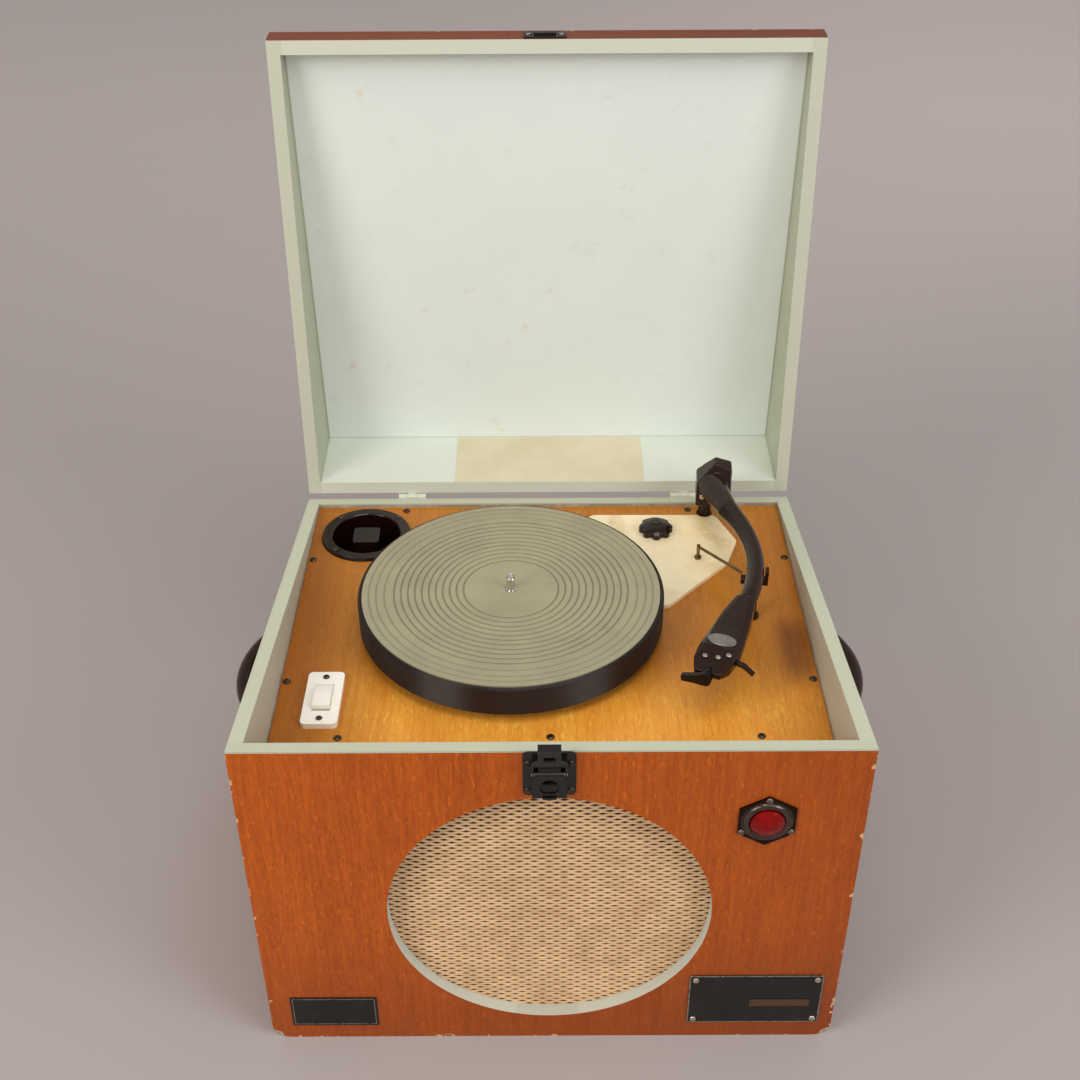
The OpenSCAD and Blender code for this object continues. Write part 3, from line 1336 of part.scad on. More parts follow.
case_front();
case_sides();
case_back();
case_bottom();
case_battens();
deck_board();
deck_screws();
fitting_screws();
machine_bolts();
speaker_baffle();
grille_mesh();
speaker_cloth();
speaker_frame();
speaker_cone();
speaker_magnet();
amp_chassis();
valves();
transformers();
mains_inlet();
unit_plate();
platter();
platter_mat();
spindle();
bearing_housing();
motor_body();
motor_spindle();
idler_wheel();
idler_arm();
speed_knob();
control_cup();
volume_knob();
switch_plate();
switch_rocker();
arm_pillar();
arm_yoke();
tonearm();
head_shell();
head_badge();
arm_screws();
finger_lift();
stylus_holder();
arm_rest();
trip_rod();
latch_plate();
latch_lever();
latch_claw();
latch_pin();
latch_keeper();
case_hinge_leaves();
lid_hinge_leaves();
carrying_handles();
handle_brackets();
lamp_bezel();
lamp_lens();
lamp_holder();
name_plates();
lid_frame();
lid_panel();
lid_label();
lid_screws();
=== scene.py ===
# %% [markdown]
# # A portable record player with its lid raised
# The real object is a plywood case covered in red-brown veneer. Under a wedge-shaped lid it carries a
# heavy turntable with a rubber mat, a curved bakelite arm and a few controls, and a loudspeaker sits
# behind a round metal grille in front. The solids, their places and their joints come from the packed
# model, so this lesson only gives each piece its finish, its soft edges and its fine detail.
# Every length is in metres. X runs to the right, Y to the back and Z up.
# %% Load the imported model
import json
import math
import bmesh
import bpy
from mathutils import Matrix, Vector


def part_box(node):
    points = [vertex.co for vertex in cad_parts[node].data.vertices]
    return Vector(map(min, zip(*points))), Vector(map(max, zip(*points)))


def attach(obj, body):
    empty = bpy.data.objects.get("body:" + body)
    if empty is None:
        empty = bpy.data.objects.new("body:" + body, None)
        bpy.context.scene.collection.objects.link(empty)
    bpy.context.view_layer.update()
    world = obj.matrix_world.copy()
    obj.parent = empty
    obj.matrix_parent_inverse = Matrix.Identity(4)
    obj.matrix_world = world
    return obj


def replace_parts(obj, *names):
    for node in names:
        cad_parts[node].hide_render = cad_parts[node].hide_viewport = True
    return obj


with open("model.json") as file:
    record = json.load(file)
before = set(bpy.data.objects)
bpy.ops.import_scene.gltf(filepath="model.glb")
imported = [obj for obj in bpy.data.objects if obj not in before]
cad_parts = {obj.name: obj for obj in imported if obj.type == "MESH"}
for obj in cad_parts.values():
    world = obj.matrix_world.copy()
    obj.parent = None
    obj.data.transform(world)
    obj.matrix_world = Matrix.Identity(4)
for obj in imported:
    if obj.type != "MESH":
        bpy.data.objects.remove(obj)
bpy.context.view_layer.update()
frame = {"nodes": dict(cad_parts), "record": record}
nodes = frame["nodes"]
node_slot = {part["node"]: part["material_slot"] for part in frame["record"]["subparts"]}
scene = bpy.context.scene


def placed(name, data):
    """A new object in the scene."""
    made = bpy.data.objects.new(name, data)
    scene.collection.objects.link(made)
    return made


# %% [markdown]
# The camera comes first, because everything else is judged through it. It looks down at the case from
# a little above head height. Its place and turn were solved from the case's own edges, so they are
# given here as plain numbers, and the lens follows from the solved focal length in pixels.
# %% Camera
PIXELS = 1080
focal_px = 1442.8
camera_at = Vector((-0.00565, -0.94620, 1.01858))
pitch, yaw, roll = -0.61179, -0.0019, -0.00603
forward = Vector((math.sin(yaw) * math.cos(pitch), math.cos(yaw) * math.cos(pitch), math.sin(pitch)))
level = Vector((math.cos(yaw), -math.sin(yaw), 0))
right = math.cos(roll) * level + math.sin(roll) * level.cross(forward)
up = -math.sin(roll) * level + math.cos(roll) * level.cross(forward)
camera_data = bpy.data.cameras.new("photo_camera")
camera_data.sensor_width = 36
camera_data.lens = focal_px / PIXELS * camera_data.sensor_width
camera = placed("photo_camera", camera_data)
turn = Matrix((right, up, -forward)).transposed().to_4x4()
camera.matrix_world = Matrix.Translation(camera_at) @ turn
scene.camera = camera
print("lens:", round(camera_data.lens, 2), "mm")

# %% [markdown]
# Soft light from large lamps suits lacquer and enamel, because each lamp shows in them as a broad soft
# gloss. The world gives an even fill, and what the camera sees behind the object is a plain grey-mauve
# that has no part in lighting it. Mirrors and glass see that same backdrop.
# %% World, floor and lamps
scene.view_settings.view_transform = "Standard"
BACKDROP = (0.452, 0.398, 0.386, 1)


def shown_as(tree, lit, seen):
    """Shows one colour to the camera, to gloss and through glass, and lights the scene with the other."""
    path = tree.nodes.new("ShaderNodeLightPath")
    plain = tree.nodes.new("ShaderNodeBackground")
    plain.inputs["Color"].default_value = seen
    mixer = tree.nodes.new("ShaderNodeMixShader")
    looked_at = path.outputs["Is Camera Ray"]
    for ray in ("Is Transmission Ray", "Is Glossy Ray"):
        either = tree.nodes.new("ShaderNodeMath")
        either.operation = "MAXIMUM"
        tree.links.new(looked_at, either.inputs[0])
        tree.links.new(path.outputs[ray], either.inputs[1])
        looked_at = either.outputs[0]
    tree.links.new(looked_at, mixer.inputs["Fac"])
    tree.links.new(lit, mixer.inputs[1])
    tree.links.new(plain.outputs[0], mixer.inputs[2])
    return mixer.outputs[0]


world = bpy.data.worlds.new("studio")
scene.world = world
world.use_nodes = True
fill = world.node_tree.nodes["Background"]
fill.inputs["Color"].default_value = (1.0, 0.97, 0.94, 1)
fill.inputs["Strength"].default_value = 0.46
world.node_tree.links.new(shown_as(world.node_tree, fill.outputs[0], BACKDROP),
                          world.node_tree.nodes["World Output"].inputs["Surface"])


def lamp(name, size, energy, at, target, colour=(1, 0.96, 0.9)):
    """A square area lamp that faces its target."""
    data = bpy.data.lights.new(name, "AREA")
    data.shape = "SQUARE"
    data.size = size
    data.energy = energy
    data.color = colour
    made = placed(name, data)
    made.location = at
    made.rotation_euler = (Vector(target) - Vector(at)).to_track_quat("-Z", "Y").to_euler()


lamp("key_lamp", 1.2, 30, (-1.75, -1.45, 1.7), (0, 0, 0.25))
lamp("fill_lamp", 1.2, 22, (1.85, -1.35, 1.6), (0, 0, 0.25), (0.97, 0.98, 1))
lamp("top_lamp", 1.2, 14, (0.2, -0.55, 2.3), (0, 0.1, 0.35))

floor_mesh = bpy.data.meshes.new("floor")
floor_mesh.from_pydata([(-6, -6, 0), (6, -6, 0), (6, 6, 0), (-6, 6, 0)], [], [(0, 1, 2, 3)])
floor = placed("floor", floor_mesh)
print("lamps and floor stand ready")

# %% [markdown]
# ## Writing materials as sums
# A procedural finish is mostly arithmetic on a few noise textures. Wiring that by hand hides the idea,
# so a small class wraps a socket and gives it Python's own operators. `1 - mask` then adds a Subtract
# node. A second class holds one material and adds any other node in one call.
# %% Wire and Finish
class Wire:
    """A value on its way through a material. Sums on it add Math nodes."""

    def __init__(self, finish, socket):
        self.finish, self.socket = finish, socket

    def sum(self, operation, *values):
        """A Math node with these values."""
        return self.finish.add("Math", {"operation": operation}, dict(enumerate(values)))

    def after(self, operation):
        """This value after a sum that takes nothing else, such as a sine."""
        return self.sum(operation, self)

    def __add__(self, other): return self.sum("ADD", self, other)
    def __radd__(self, other): return self.sum("ADD", other, self)
    def __sub__(self, other): return self.sum("SUBTRACT", self, other)
    def __rsub__(self, other): return self.sum("SUBTRACT", other, self)
    def __mul__(self, other): return self.sum("MULTIPLY", self, other)
    def __rmul__(self, other): return self.sum("MULTIPLY", other, self)
    def __truediv__(self, other): return self.sum("DIVIDE", self, other)
    def __pow__(self, other): return self.sum("POWER", self, other)
    def __abs__(self): return self.after("ABSOLUTE")
    def __gt__(self, other): return self.sum("GREATER_THAN", self, other)
    def __lt__(self, other): return self.sum("LESS_THAN", self, other)
    def most(self, other): return self.sum("MAXIMUM", self, other)
    def least(self, other): return self.sum("MINIMUM", self, other)

    def between(self, low, high):
        """Climbs smoothly from 0 at low to 1 at high."""
        return self.finish.add("MapRange", {"interpolation_type": "SMOOTHSTEP"},
                               {"Value": self, "From Min": low, "From Max": high})


class Graph:
    """A node tree that is written one call at a time."""

    def feed(self, socket, value):
        """Puts a wire or a plain value into a socket. A colour may leave out its alpha."""
        if isinstance(value, Wire):
            self.tree.links.new(value.socket, socket)
        else:
            opaque = socket.type == "RGBA" and len(value) == 3
            socket.default_value = (*value, 1) if opaque else value

    def add(self, kind, settings, inputs, output=0):
        """Adds a node: its settings first, then the values or wires of its sockets."""
        node = self.tree.nodes.new(kind if "Node" in kind else "ShaderNode" + kind)
        for key, value in settings.items():
            setattr(node, key, value)
        for socket, value in inputs.items():
            self.feed(node.inputs[socket], value)
        return Wire(self, node.outputs[output])

    def axes(self, place=None):
        """The three coordinates of a place, each as a wire."""
        split = self.add("SeparateXYZ", {}, {0: place or self.place})
        return [split] + [Wire(self, split.socket.node.outputs[k]) for k in (1, 2)]

    def joined(self, x, y, z):
        """A place made of three coordinates."""
        return self.add("CombineXYZ", {}, {0: x, 1: y, 2: z})


class Finish(Graph):
    """One material, named for the surface that it covers."""

    def __init__(self, name, **fixed):
        self.material = bpy.data.materials.new(name)
        self.material.use_nodes = True
        self.tree = self.material.node_tree
        self.shader = self.tree.nodes["Principled BSDF"]
        self.wear(**fixed)
        self.place = self.add("TexCoord", {}, {}, "Object")

    def within(self, low, high):
        """1 inside the box between two corners, where None leaves an axis open."""
        inside = 1.0
        for wire, least, most in zip(self.axes(), low, high):
            if least is not None:
                inside = (wire > least) * (most > wire) * inside
        return inside

    def named(self, name):
        """A number that the mesh itself carries at each point."""
        return self.add("Attribute", {"attribute_name": name}, {}, "Fac")

    def noise(self, scale, detail=3, roughness=0.5, stretch=(1, 1, 1), place=None, distortion=0):
        """A noise from 0 to 1. A small factor in stretch draws its grain out along that axis."""
        spread = self.add("VectorMath", {"operation": "MULTIPLY"}, {0: place or self.place, 1: stretch})
        return self.add("TexNoise", {}, {"Vector": spread, "Scale": scale, "Detail": detail,
                                         "Roughness": roughness, "Distortion": distortion})

    def cells(self, scale, place=None, feature="F1"):
        """How far each place lies from the nearest of many scattered points."""
        return self.add("TexVoronoi", {"feature": feature}, {"Vector": place or self.place, "Scale": scale})

    def mix(self, amount, first, second):
        """Mixes two colours, each a wire or an (r, g, b) tuple."""
        return self.add("Mix", {"data_type": "RGBA"}, {0: amount, 6: first, 7: second}, 2)

    def wear(self, **sockets):
        """Feeds the shader's sockets and returns the material."""
        for name, value in sockets.items():
            self.feed(self.shader.inputs[name.replace("_", " ")], value)
        return self.material

    def look(self, colour, rough, height, depth, **others):
        """Feeds the colour, the roughness and a relief of height times depth, in metres."""
        relief = self.add("Bump", {}, {"Height": height, "Distance": depth, "Strength": 1.0})
        return self.wear(Base_Color=colour, Roughness=rough, Normal=relief, **others)


def distance(across, along, centre):
    """How far a place lies from an axis through the centre, from its two coordinates."""
    a, b = across - centre[0], along - centre[1]
    return (a * a + b * b) ** 0.5


finishes = {}
# The floor is painted paler towards the back and the right, as painted light where it is seen as the
# backdrop.
f = Finish("studio_floor", Roughness=0.75)
x, y, z = f.axes()
far = y.between(0.1, 2.4) * (0.55 + x.between(-0.5, 1.2) * 0.3)
f.wear(Base_Color=f.mix(far + f.noise(3, 2) * 0.04, (0.40, 0.358, 0.352), (0.82, 0.73, 0.72)))
floor_mesh.materials.append(f.material)
print("a finish is a Principled shader with sums in front of it, and the floor has the first")

# %% [markdown]
# ## Veneer under lacquer, and the paint beside it
# The case is plywood faced with a straight-grained red-brown veneer. Its grain stands upright on every
# outer wall, with fine dark pores, paler flecks between them and slow bands of deeper colour. The raw
# edges of the boards, the inside of the lid and the rim of the grille are painted a pale grey-green.
# One board carries both, so one finish holds both: the wood is drawn wherever the surface is the
# outermost one of the case, and paint everywhere else. Small chips show pale wood along worn edges.
# %% Colours and masks of the case
def tint(red, green, blue):
    """A colour as a screen shows it, 0 to 255, turned into the linear values that a shader takes."""
    return tuple(c / 12.92 if c <= 0.04045 else ((c + 0.055) / 1.055) ** 2.4
                 for c in (red / 255, green / 255, blue / 255))


SKIN = 0.0005            # how near the outer size still counts as the outermost surface
HALF_W, HALF_D = 0.2285, 0.2065
FRONT_H, BACK_H, CLOSED_H = 0.320, 0.259, 0.342
WALL = 0.0125            # the hollow's sides lie within this of the outer size
DECK_TOP = 0.2565
PAINT = tint(207, 206, 190)
BARE_WOOD = tint(224, 190, 140)


def veneer(finish, place, pale, deep, pore, along, figure_scale=13):
    """Colour and height of a fine straight-grained veneer. Along is small in the grain's direction."""
    short = tuple(1 if k == 1 else min(1, k * 4) for k in along)
    long = tuple(1 if k == 1 else k * 0.6 for k in along)
    bands = finish.noise(figure_scale, 4, 0.6, along, place, 0.35).between(0.30, 0.72)
    lines = finish.noise(150, 4, 0.65, along, place).between(0.32, 0.70)
    mottle = finish.noise(420, 3, 0.6, short, place).between(0.36, 0.66)
    pores = finish.noise(900, 2, 0.55, short, place).between(0.56, 0.72)
    flecks = finish.noise(520, 2, 0.5, short, place, 0.2).between(0.58, 0.74)
    threads = finish.noise(310, 3, 0.6, long, place).between(0.36, 0.64)
    colour = finish.mix(bands * 0.28 + lines * 0.2 + threads * 0.27 + mottle * 0.25, deep, pale)
    colour = finish.mix(flecks * 0.42, colour, tuple(min(1, c * 1.55) for c in pale))
    colour = finish.mix(pores * 0.38, colour, pore)
    return colour, lines * 0.4 - pores + flecks * 0.3


def painted(finish, place=None, paint=PAINT):
    """Colour and height of brushed oil paint that has yellowed and gathered a little dirt."""
    cloud = finish.noise(7, 4, 0.6, place=place).between(0.3, 0.75)
    grime = finish.noise(55, 5, 0.7, place=place).between(0.58, 0.80)
    colour = finish.mix(cloud * 0.35, paint, tuple(c * 0.9 for c in paint))
    colour = finish.mix(grime * 0.18, colour, tint(150, 132, 98))
    return colour, finish.noise(240, 3, 0.6, place=place) * 0.5 + cloud


print("paint:", [round(c, 3) for c in PAINT])

# %% [markdown]
# The lid was veneered and sawn as part of the same box, so its finish is laid out on the closed box. It
# stands open at rest here, which is why its coordinates are first turned back about the hinge.
# %% Veneered case and lid
HINGE = (0, 0.2105, 0.2585)
LID_OPEN = math.radians(86.25)
RED_PALE, RED_DEEP, RED_PORE = tint(212, 104, 18), tint(160, 68, 6), tint(108, 42, 6)
LID_WHITE, LID_WALL_SHADE = tint(231, 238, 232), tint(184, 190, 170)
CASE_RIM, LID_RIM = tint(188, 192, 170), tint(202, 202, 184)


def case_finish(name, lid=False):
    """Veneer on the outermost surfaces and paint on the others, for the case or for its lid."""
    f = Finish(name, Coat_Roughness=0.22, Coat_IOR=1.45, Specular_IOR_Level=0.22)
    place = f.place
    if lid:
        place = f.add("VectorRotate", {"rotation_type": "X_AXIS"},
                      {"Vector": f.place, "Center": HINGE, "Angle": LID_OPEN})
    x, y, z = f.axes(place)
    wood, wood_height = veneer(f, place, RED_PALE, RED_DEEP, RED_PORE, (1, 0.06, 1) if lid else (1, 1, 0.06))
    # The veneer is painted darker to the right and near the ground, as shade, and darkest on the lid.
    painted_shade = x.between(-0.05, 0.26) * 0.30 + (1 - z.between(0.0, 0.16)) * 0.40 + (0.5 if lid else 0.10)
    wood = f.mix(painted_shade, wood, tint(128, 54, 14))
    if lid:
        # The lid's front edge faces up while it stands open, and is painted much darker.
        wood = f.mix((y < SKIN - HALF_D) * 0.62, wood, tint(74, 36, 18))
    paint, paint_height = painted(f, place, LID_WHITE if lid else PAINT)
    if lid:
        # The walls of the lid's hollow are painted duller than its top, as painted shade.
        paint = f.mix((abs(y) > HALF_D - WALL) * 0.5, paint, LID_WALL_SHADE)
        dulled = f.mix(f.noise(30, 4, 0.6, place=place) * 0.4, LID_WALL_SHADE, tint(160, 162, 142))
        paint = f.mix(abs(x) > HALF_W - WALL, paint, dulled)
    # The paint of the rims laps round the edge a little, and the two rims meet in one sloping plane.
    rim = z - FRONT_H - (y + HALF_D) * ((BACK_H - FRONT_H) / (2 * HALF_D))
    at_rim = abs(rim) < 0.0016
    skin = (abs(x) > HALF_W - SKIN).most(abs(y) > HALF_D - SKIN)
    if lid:
        skin = skin.most(z > CLOSED_H - SKIN)
    skin = skin * (1 - at_rim)
    paint = f.mix(at_rim * (0.7 if lid else 0.9), paint, LID_RIM if lid else CASE_RIM)
    if not lid:
        # The walls of the hollow above the deck are painted darker than the rim, partly dirt and partly
        # painted shade, and darker still in patches where they meet the deck.
        foot = 1 - (z - DECK_TOP).between(0.0, 0.007)
        dirt = foot * f.noise(60, 4, 0.7, place=place).between(0.3, 0.6) * 0.5
        paint = f.mix((z > DECK_TOP) * (1 - at_rim) * (0.22 + dirt), paint, tint(112, 98, 66))
    ragged = f.noise(95, 4, 0.65, place=place)
    # Of the three distances to the box's planes the second smallest is the distance to its nearest edge.
    side, front, end = HALF_W - abs(x), HALF_D - abs(y), CLOSED_H - z if lid else z
    low = side.least(front).most(side.most(front).least(end))
    chips = (ragged + (1 - low.between(0.0, 0.0065)) * 0.23 > 0.83) * skin
    colour = f.mix(skin, paint, wood)
    if lid:
        stain_and_shadow = f.cells(9, place=place).between(0.0, 0.045)
        colour = f.mix((1 - stain_and_shadow) * 0.35 * (1 - skin), colour, tint(226, 176, 128))
    else:
        # The two knocked corners have lost their veneer.
        corner = (HALF_W - 0.016 < abs(x)) * (0.016 > z) * (0.016 - HALF_D > y)
        colour = f.mix(corner * (1 - skin) * 0.9, colour, BARE_WOOD)
    colour = f.mix(chips * 0.85, colour, BARE_WOOD)
    height = skin * wood_height * 0.5 + (1 - skin) * paint_height * 0.6 - chips * 2
    rough = skin * (0.36 + wood_height * 0.05) + (1 - skin) * 0.50 + chips * 0.3
    return f.look(colour, rough, height, 0.00009, Coat_Weight=skin * 0.16 * (1 - chips))


finishes["veneer_red"] = case_finish("case_veneer")
finishes["lid_veneer"] = case_finish("lid_veneer", lid=True)
f = Finish("rim_paint")
paint, height = painted(f)
finishes["painted_rim"] = f.look(paint, 0.48 + height * 0.04, height, 0.00006)
print("veneer and paint are mixed")

# %% [markdown]
# The deck is a paler golden veneer whose grain runs from front to back. It is painted brightest at the front
# and darker at both sides and towards the back, as shade. A painted shadow lies beside the arm's head.
# The boards that nobody sees, such as the floor, battens and baffle, are plain birch ply.
# %% Deck and plain boards
f = Finish("deck_veneer", Coat_Roughness=0.18, Coat_IOR=1.45, Specular_IOR_Level=0.22)
x, y, z = f.axes()
wood, height = veneer(f, f.place, tint(246, 178, 70), tint(222, 140, 44), tint(158, 84, 22), (1, 0.04, 1), 17)
streak = f.noise(9, 3, 0.5, (1, 0.12, 1), distortion=0.6).between(0.52, 0.72)
wood = f.mix(streak * 0.25, wood, tint(192, 108, 34))
# Painted shade: the deck darkens towards both sides and towards the back.
at_sides = (-0.10 - x).between(0.0, 0.11).most((x - 0.15).between(0.0, 0.10) * 0.8)
shaded = at_sides.most((y + 0.13).between(0.0, 0.12) * 0.8)
wood = f.mix(shaded * 0.76, wood, tint(134, 62, 2))
# A painted shadow: a soft dark patch on the deck beside the arm's head.
stain_and_shadow = (1 - abs(x - 0.204).between(0.004, 0.019)) * (1 - abs(y + 0.021).between(0.018, 0.056))
wood = f.mix(stain_and_shadow * 0.6, wood, tint(100, 50, 14))
finishes["veneer_gold"] = f.look(wood, 0.34 + height * 0.05, height, 0.00007, Coat_Weight=0.18)
f = Finish("plain_ply")
x, y, z = f.axes()
wood, height = veneer(f, f.place, tint(206, 172, 122), tint(176, 138, 92), tint(130, 92, 56), (0.05, 1, 1), 8)
finishes["plain_wood"] = f.look(wood, 0.62 + height * 0.08, height, 0.00012)
print("deck and ply are mixed")

# %% [markdown]
# ## Metals
# Old plated and lacquered fittings differ mostly in how worn they are. One recipe gives them all: a
# base colour, a duller tarnish in clouds, a few fine scratches, and for lacquer a coat that has rubbed
# off to bright metal where the noise is high.
# %% Metal finishes
def metal(name, colour, tarnish, rough=0.28, dirt=0.5, scale=90, lacquered=False):
    """A plated or bare metal, or one whose dark lacquer has worn through in places."""
    f = Finish(name)
    cloud = f.noise(scale, 5, 0.65).between(0.38, 0.72)
    scratches = f.noise(1300, 2, 0.6, (1, 0.06, 0.2)).between(0.62, 0.75)
    shade = f.mix(cloud * dirt, colour, tarnish)
    bare = 1.0
    if lacquered:
        worn = f.noise(scale * 4, 4, 0.7).between(0.70, 0.78)
        shade = f.mix(worn * 0.55, shade, tint(150, 144, 136))
        bare = worn * 0.7
    return f.look(shade, rough + cloud * 0.16 - scratches * 0.05, cloud * 0.5 + scratches, 0.00003,
                  Metallic=bare)


for slot, name, colour, tarnish, *others in (
        ("chrome", "worn_chrome", (226, 224, 220), (150, 146, 140), 0.14, 0.35),
        ("steel_bright", "bright_steel", (198, 196, 192), (140, 134, 126), 0.28),
        ("steel_grey", "grey_steel", (128, 126, 124), (84, 80, 76), 0.38),
        ("bronze", "bearing_bronze", (178, 128, 72), (110, 76, 40), 0.34),
        ("black_metal", "black_lacquered_steel", (20, 18, 18), (12, 11, 11), 0.16, 0.5, 60, True)):
    finishes[slot] = metal(name, tint(*colour), tint(*tarnish), *others)

# The lamp's surround has a bright rim and a darker ring outside it, which its radius tells apart.
LAMP_AT = (0.1564, 0.2505)
f = Finish("lamp_surround", Metallic=1.0)
x, y, z = f.axes()
out = distance(x, z, LAMP_AT)
cloud = f.noise(180, 4, 0.65).between(0.38, 0.72)
shade = f.mix(out.between(0.0186, 0.0196), tint(98, 84, 78), tint(46, 35, 31))
shade = f.mix(cloud * 0.45, shade, tint(52, 40, 36))
finishes["grey_brown_metal"] = f.look(shade, 0.22 + cloud * 0.16, cloud, 0.00002)
print("metals:", [k for k in finishes if "steel" in k or "metal" in k or k in ("chrome", "bronze")])

# %% [markdown]
# ## Moulded parts and enamel
# Bakelite is a glossy brown-black thermoset: smooth, slightly wavy, with dust in the corners and fine
# hairline scratches that only show in the gloss. The turntable wears a hard dark brown enamel, the
# unit's plate a thick cream one, and the switch is cream urea moulding.
# %% Moulded and enamelled finishes
def moulded(name, colour, dusty, rough=0.22, dust=0.25, scale=70, depth=0.00003, **fixed):
    """A smooth moulding with clouds and specks of dust and fine hairlines."""
    f = Finish(name, **fixed)
    cloud = f.noise(scale, 4, 0.6).between(0.42, 0.78)
    specks = f.noise(scale * 14, 2, 0.5).between(0.66, 0.74)
    hair = f.noise(700, 2, 0.6, (1, 0.05, 0.3)).between(0.60, 0.72)
    shade = f.mix(cloud * dust, colour, dusty)
    shade = f.mix(specks * dust, shade, dusty)
    return f.look(shade, rough + cloud * 0.14 + hair * 0.06, cloud + specks * 0.4 - hair * 0.3, depth)


finishes["brown_bakelite"] = moulded("brown_bakelite", tint(36, 19, 13), tint(60, 42, 33), 0.13, 0.10,
                                     Specular_IOR_Level=0.26)
finishes["black_plastic"] = moulded("black_bakelite", tint(15, 11, 10), tint(38, 31, 27), 0.13, 0.10,
                                    Specular_IOR_Level=0.22)
# The platter's rim was turned before it was enamelled, and its fine rings still draw each highlight upright.
finishes["platter_brown"] = moulded("platter_enamel", tint(22, 8, 4), tint(38, 20, 12), 0.47, 0.2, 40,
                                    Anisotropic=1.0, Anisotropic_Rotation=0.25, Specular_IOR_Level=0.62)
f = Finish("cream_enamel", Coat_Roughness=0.12, Specular_IOR_Level=0.4)
x, y, z = f.axes()
cloud = f.noise(20, 4, 0.6).between(0.40, 0.78)
runs = f.noise(19, 3, 0.55, (1, 0.5, 1), distortion=0.9).between(0.52, 0.66)
specks = f.noise(310, 2, 0.5).between(0.66, 0.74)
shade = f.mix(cloud * 0.24 + specks * 0.2, tint(255, 238, 200), tint(214, 188, 138))
shade = f.mix(runs * 0.34, shade, tint(190, 140, 70))
# The plate's right corner is painted a deeper yellow, partly a stain and partly painted shade.
stain_and_shade = (x + (y - 0.10) * 0.5).between(0.085, 0.175)
shade = f.mix(stain_and_shade * (0.35 + cloud * 0.4), shade, tint(222, 186, 118))
finishes["cream_enamel"] = f.look(shade, 0.28 + cloud * 0.14, cloud + specks * 0.3, 0.00006, Coat_Weight=0.2)
finishes["cream_plastic"] = moulded("cream_moulding", tint(255, 250, 240), tint(226, 212, 186), 0.28, 0.2)
finishes["idler_rubber"] = moulded("idler_rubber", tint(40, 38, 36), tint(70, 66, 62), 0.72, 0.4)
finishes["paper_cone"] = moulded("paper_cone", tint(52, 46, 40), tint(84, 76, 66), 0.82, 0.5, 120, 0.0002)
finishes["lamination"] = moulded("iron_laminations", tint(92, 84, 78), tint(58, 50, 46), 0.55, 0.5)
print("finishes so far:", len(finishes))

# %% [markdown]
# The mat is grey-olive rubber that has bleached. Whatever lies below its top face is darker, partly dust in
# its grooves and partly painted shade, and so is the outer part where records have lain. Faint turned marks
# come from its mould. The lens is red glass, whose deep colour does the rest. The paper label has gone tan
# and is bare.
# %% Rubber, glass, cloth and paper
lo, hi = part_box("platter_mat")
CENTRE = (lo + hi) / 2
f = Finish("mat_rubber")
x, y, z = f.axes(f.add("Mapping", {"vector_type": "POINT"}, {"Vector": f.place, "Location": tuple(-CENTRE)}))
radius = (x * x + y * y) ** 0.5
turned = f.add("TexNoise", {}, {"Vector": f.joined(radius, 0.0, 0.0), "Scale": 900.0, "Detail": 3.0})
cloud = f.noise(26, 4, 0.6).between(0.32, 0.75)
grit = f.noise(900, 2, 0.6).between(0.55, 0.75)
shade = f.mix(cloud * 0.5 + turned * 0.15, tint(163, 155, 127), tint(139, 132, 107))
shade = f.mix(radius.between(0.055, 0.125) * 0.14, shade, tint(134, 125, 100))
shade = f.mix(grit * 0.16, shade, tint(196, 188, 160))
# Painted shade and dust: whatever lies below the mat's top face is darker.
in_groove = f.axes()[2] < hi.z - 0.0002
shade = f.mix(in_groove * 0.27, shade, tint(84, 76, 58))
finishes["mat_rubber"] = f.look(shade, 0.62 + cloud * 0.1, turned * 0.4 + grit, 0.00008)

f = Finish("red_glass", Transmission_Weight=0.30, IOR=1.32)
facets = f.cells(330, feature="SMOOTH_F1").between(0.0, 0.75)
cloud = f.noise(160, 3, 0.5).between(0.35, 0.7)
shade = f.mix(facets * 0.4 + cloud * 0.15, tint(168, 4, 3), tint(80, 2, 2))
finishes["red_lens"] = f.look(shade, 0.07 + cloud * 0.05, facets + cloud * 0.3, 0.00006)
f = Finish("valve_glass", Transmission_Weight=0.8, IOR=1.45)
shade = f.mix(f.noise(60, 3).between(0.5, 0.8), tint(225, 228, 226), tint(150, 150, 150))
finishes["glass_valves"] = f.wear(Base_Color=shade, Roughness=0.08 + f.noise(90, 3) * 0.06)

f = Finish("blank_plate", Specular_IOR_Level=0.35)
cloud = f.noise(60, 4, 0.6).between(0.42, 0.78)
specks = f.noise(700, 2, 0.5).between(0.62, 0.74)
shade = f.mix(cloud * 0.3 + specks * 0.25, tint(17, 15, 15), tint(58, 50, 44))
# Both plates are bare. A pale worn line runs round each, and the right one carries a bronze bar.
RIGHT_PLATE = ((0.110, None, 0.0185), (0.217, None, 0.0765))
LEFT_PLATE = ((-0.211, None, 0.016), (-0.141, None, 0.051))
BAR = ((0.1595, None, 0.0395), (0.2075, None, 0.0475))


def inset(box, by):
    """The two corners of a box that is smaller by a margin all round."""
    return [tuple(None if c is None else c + step for c in corner)
            for corner, step in zip(box, (by, -by))]


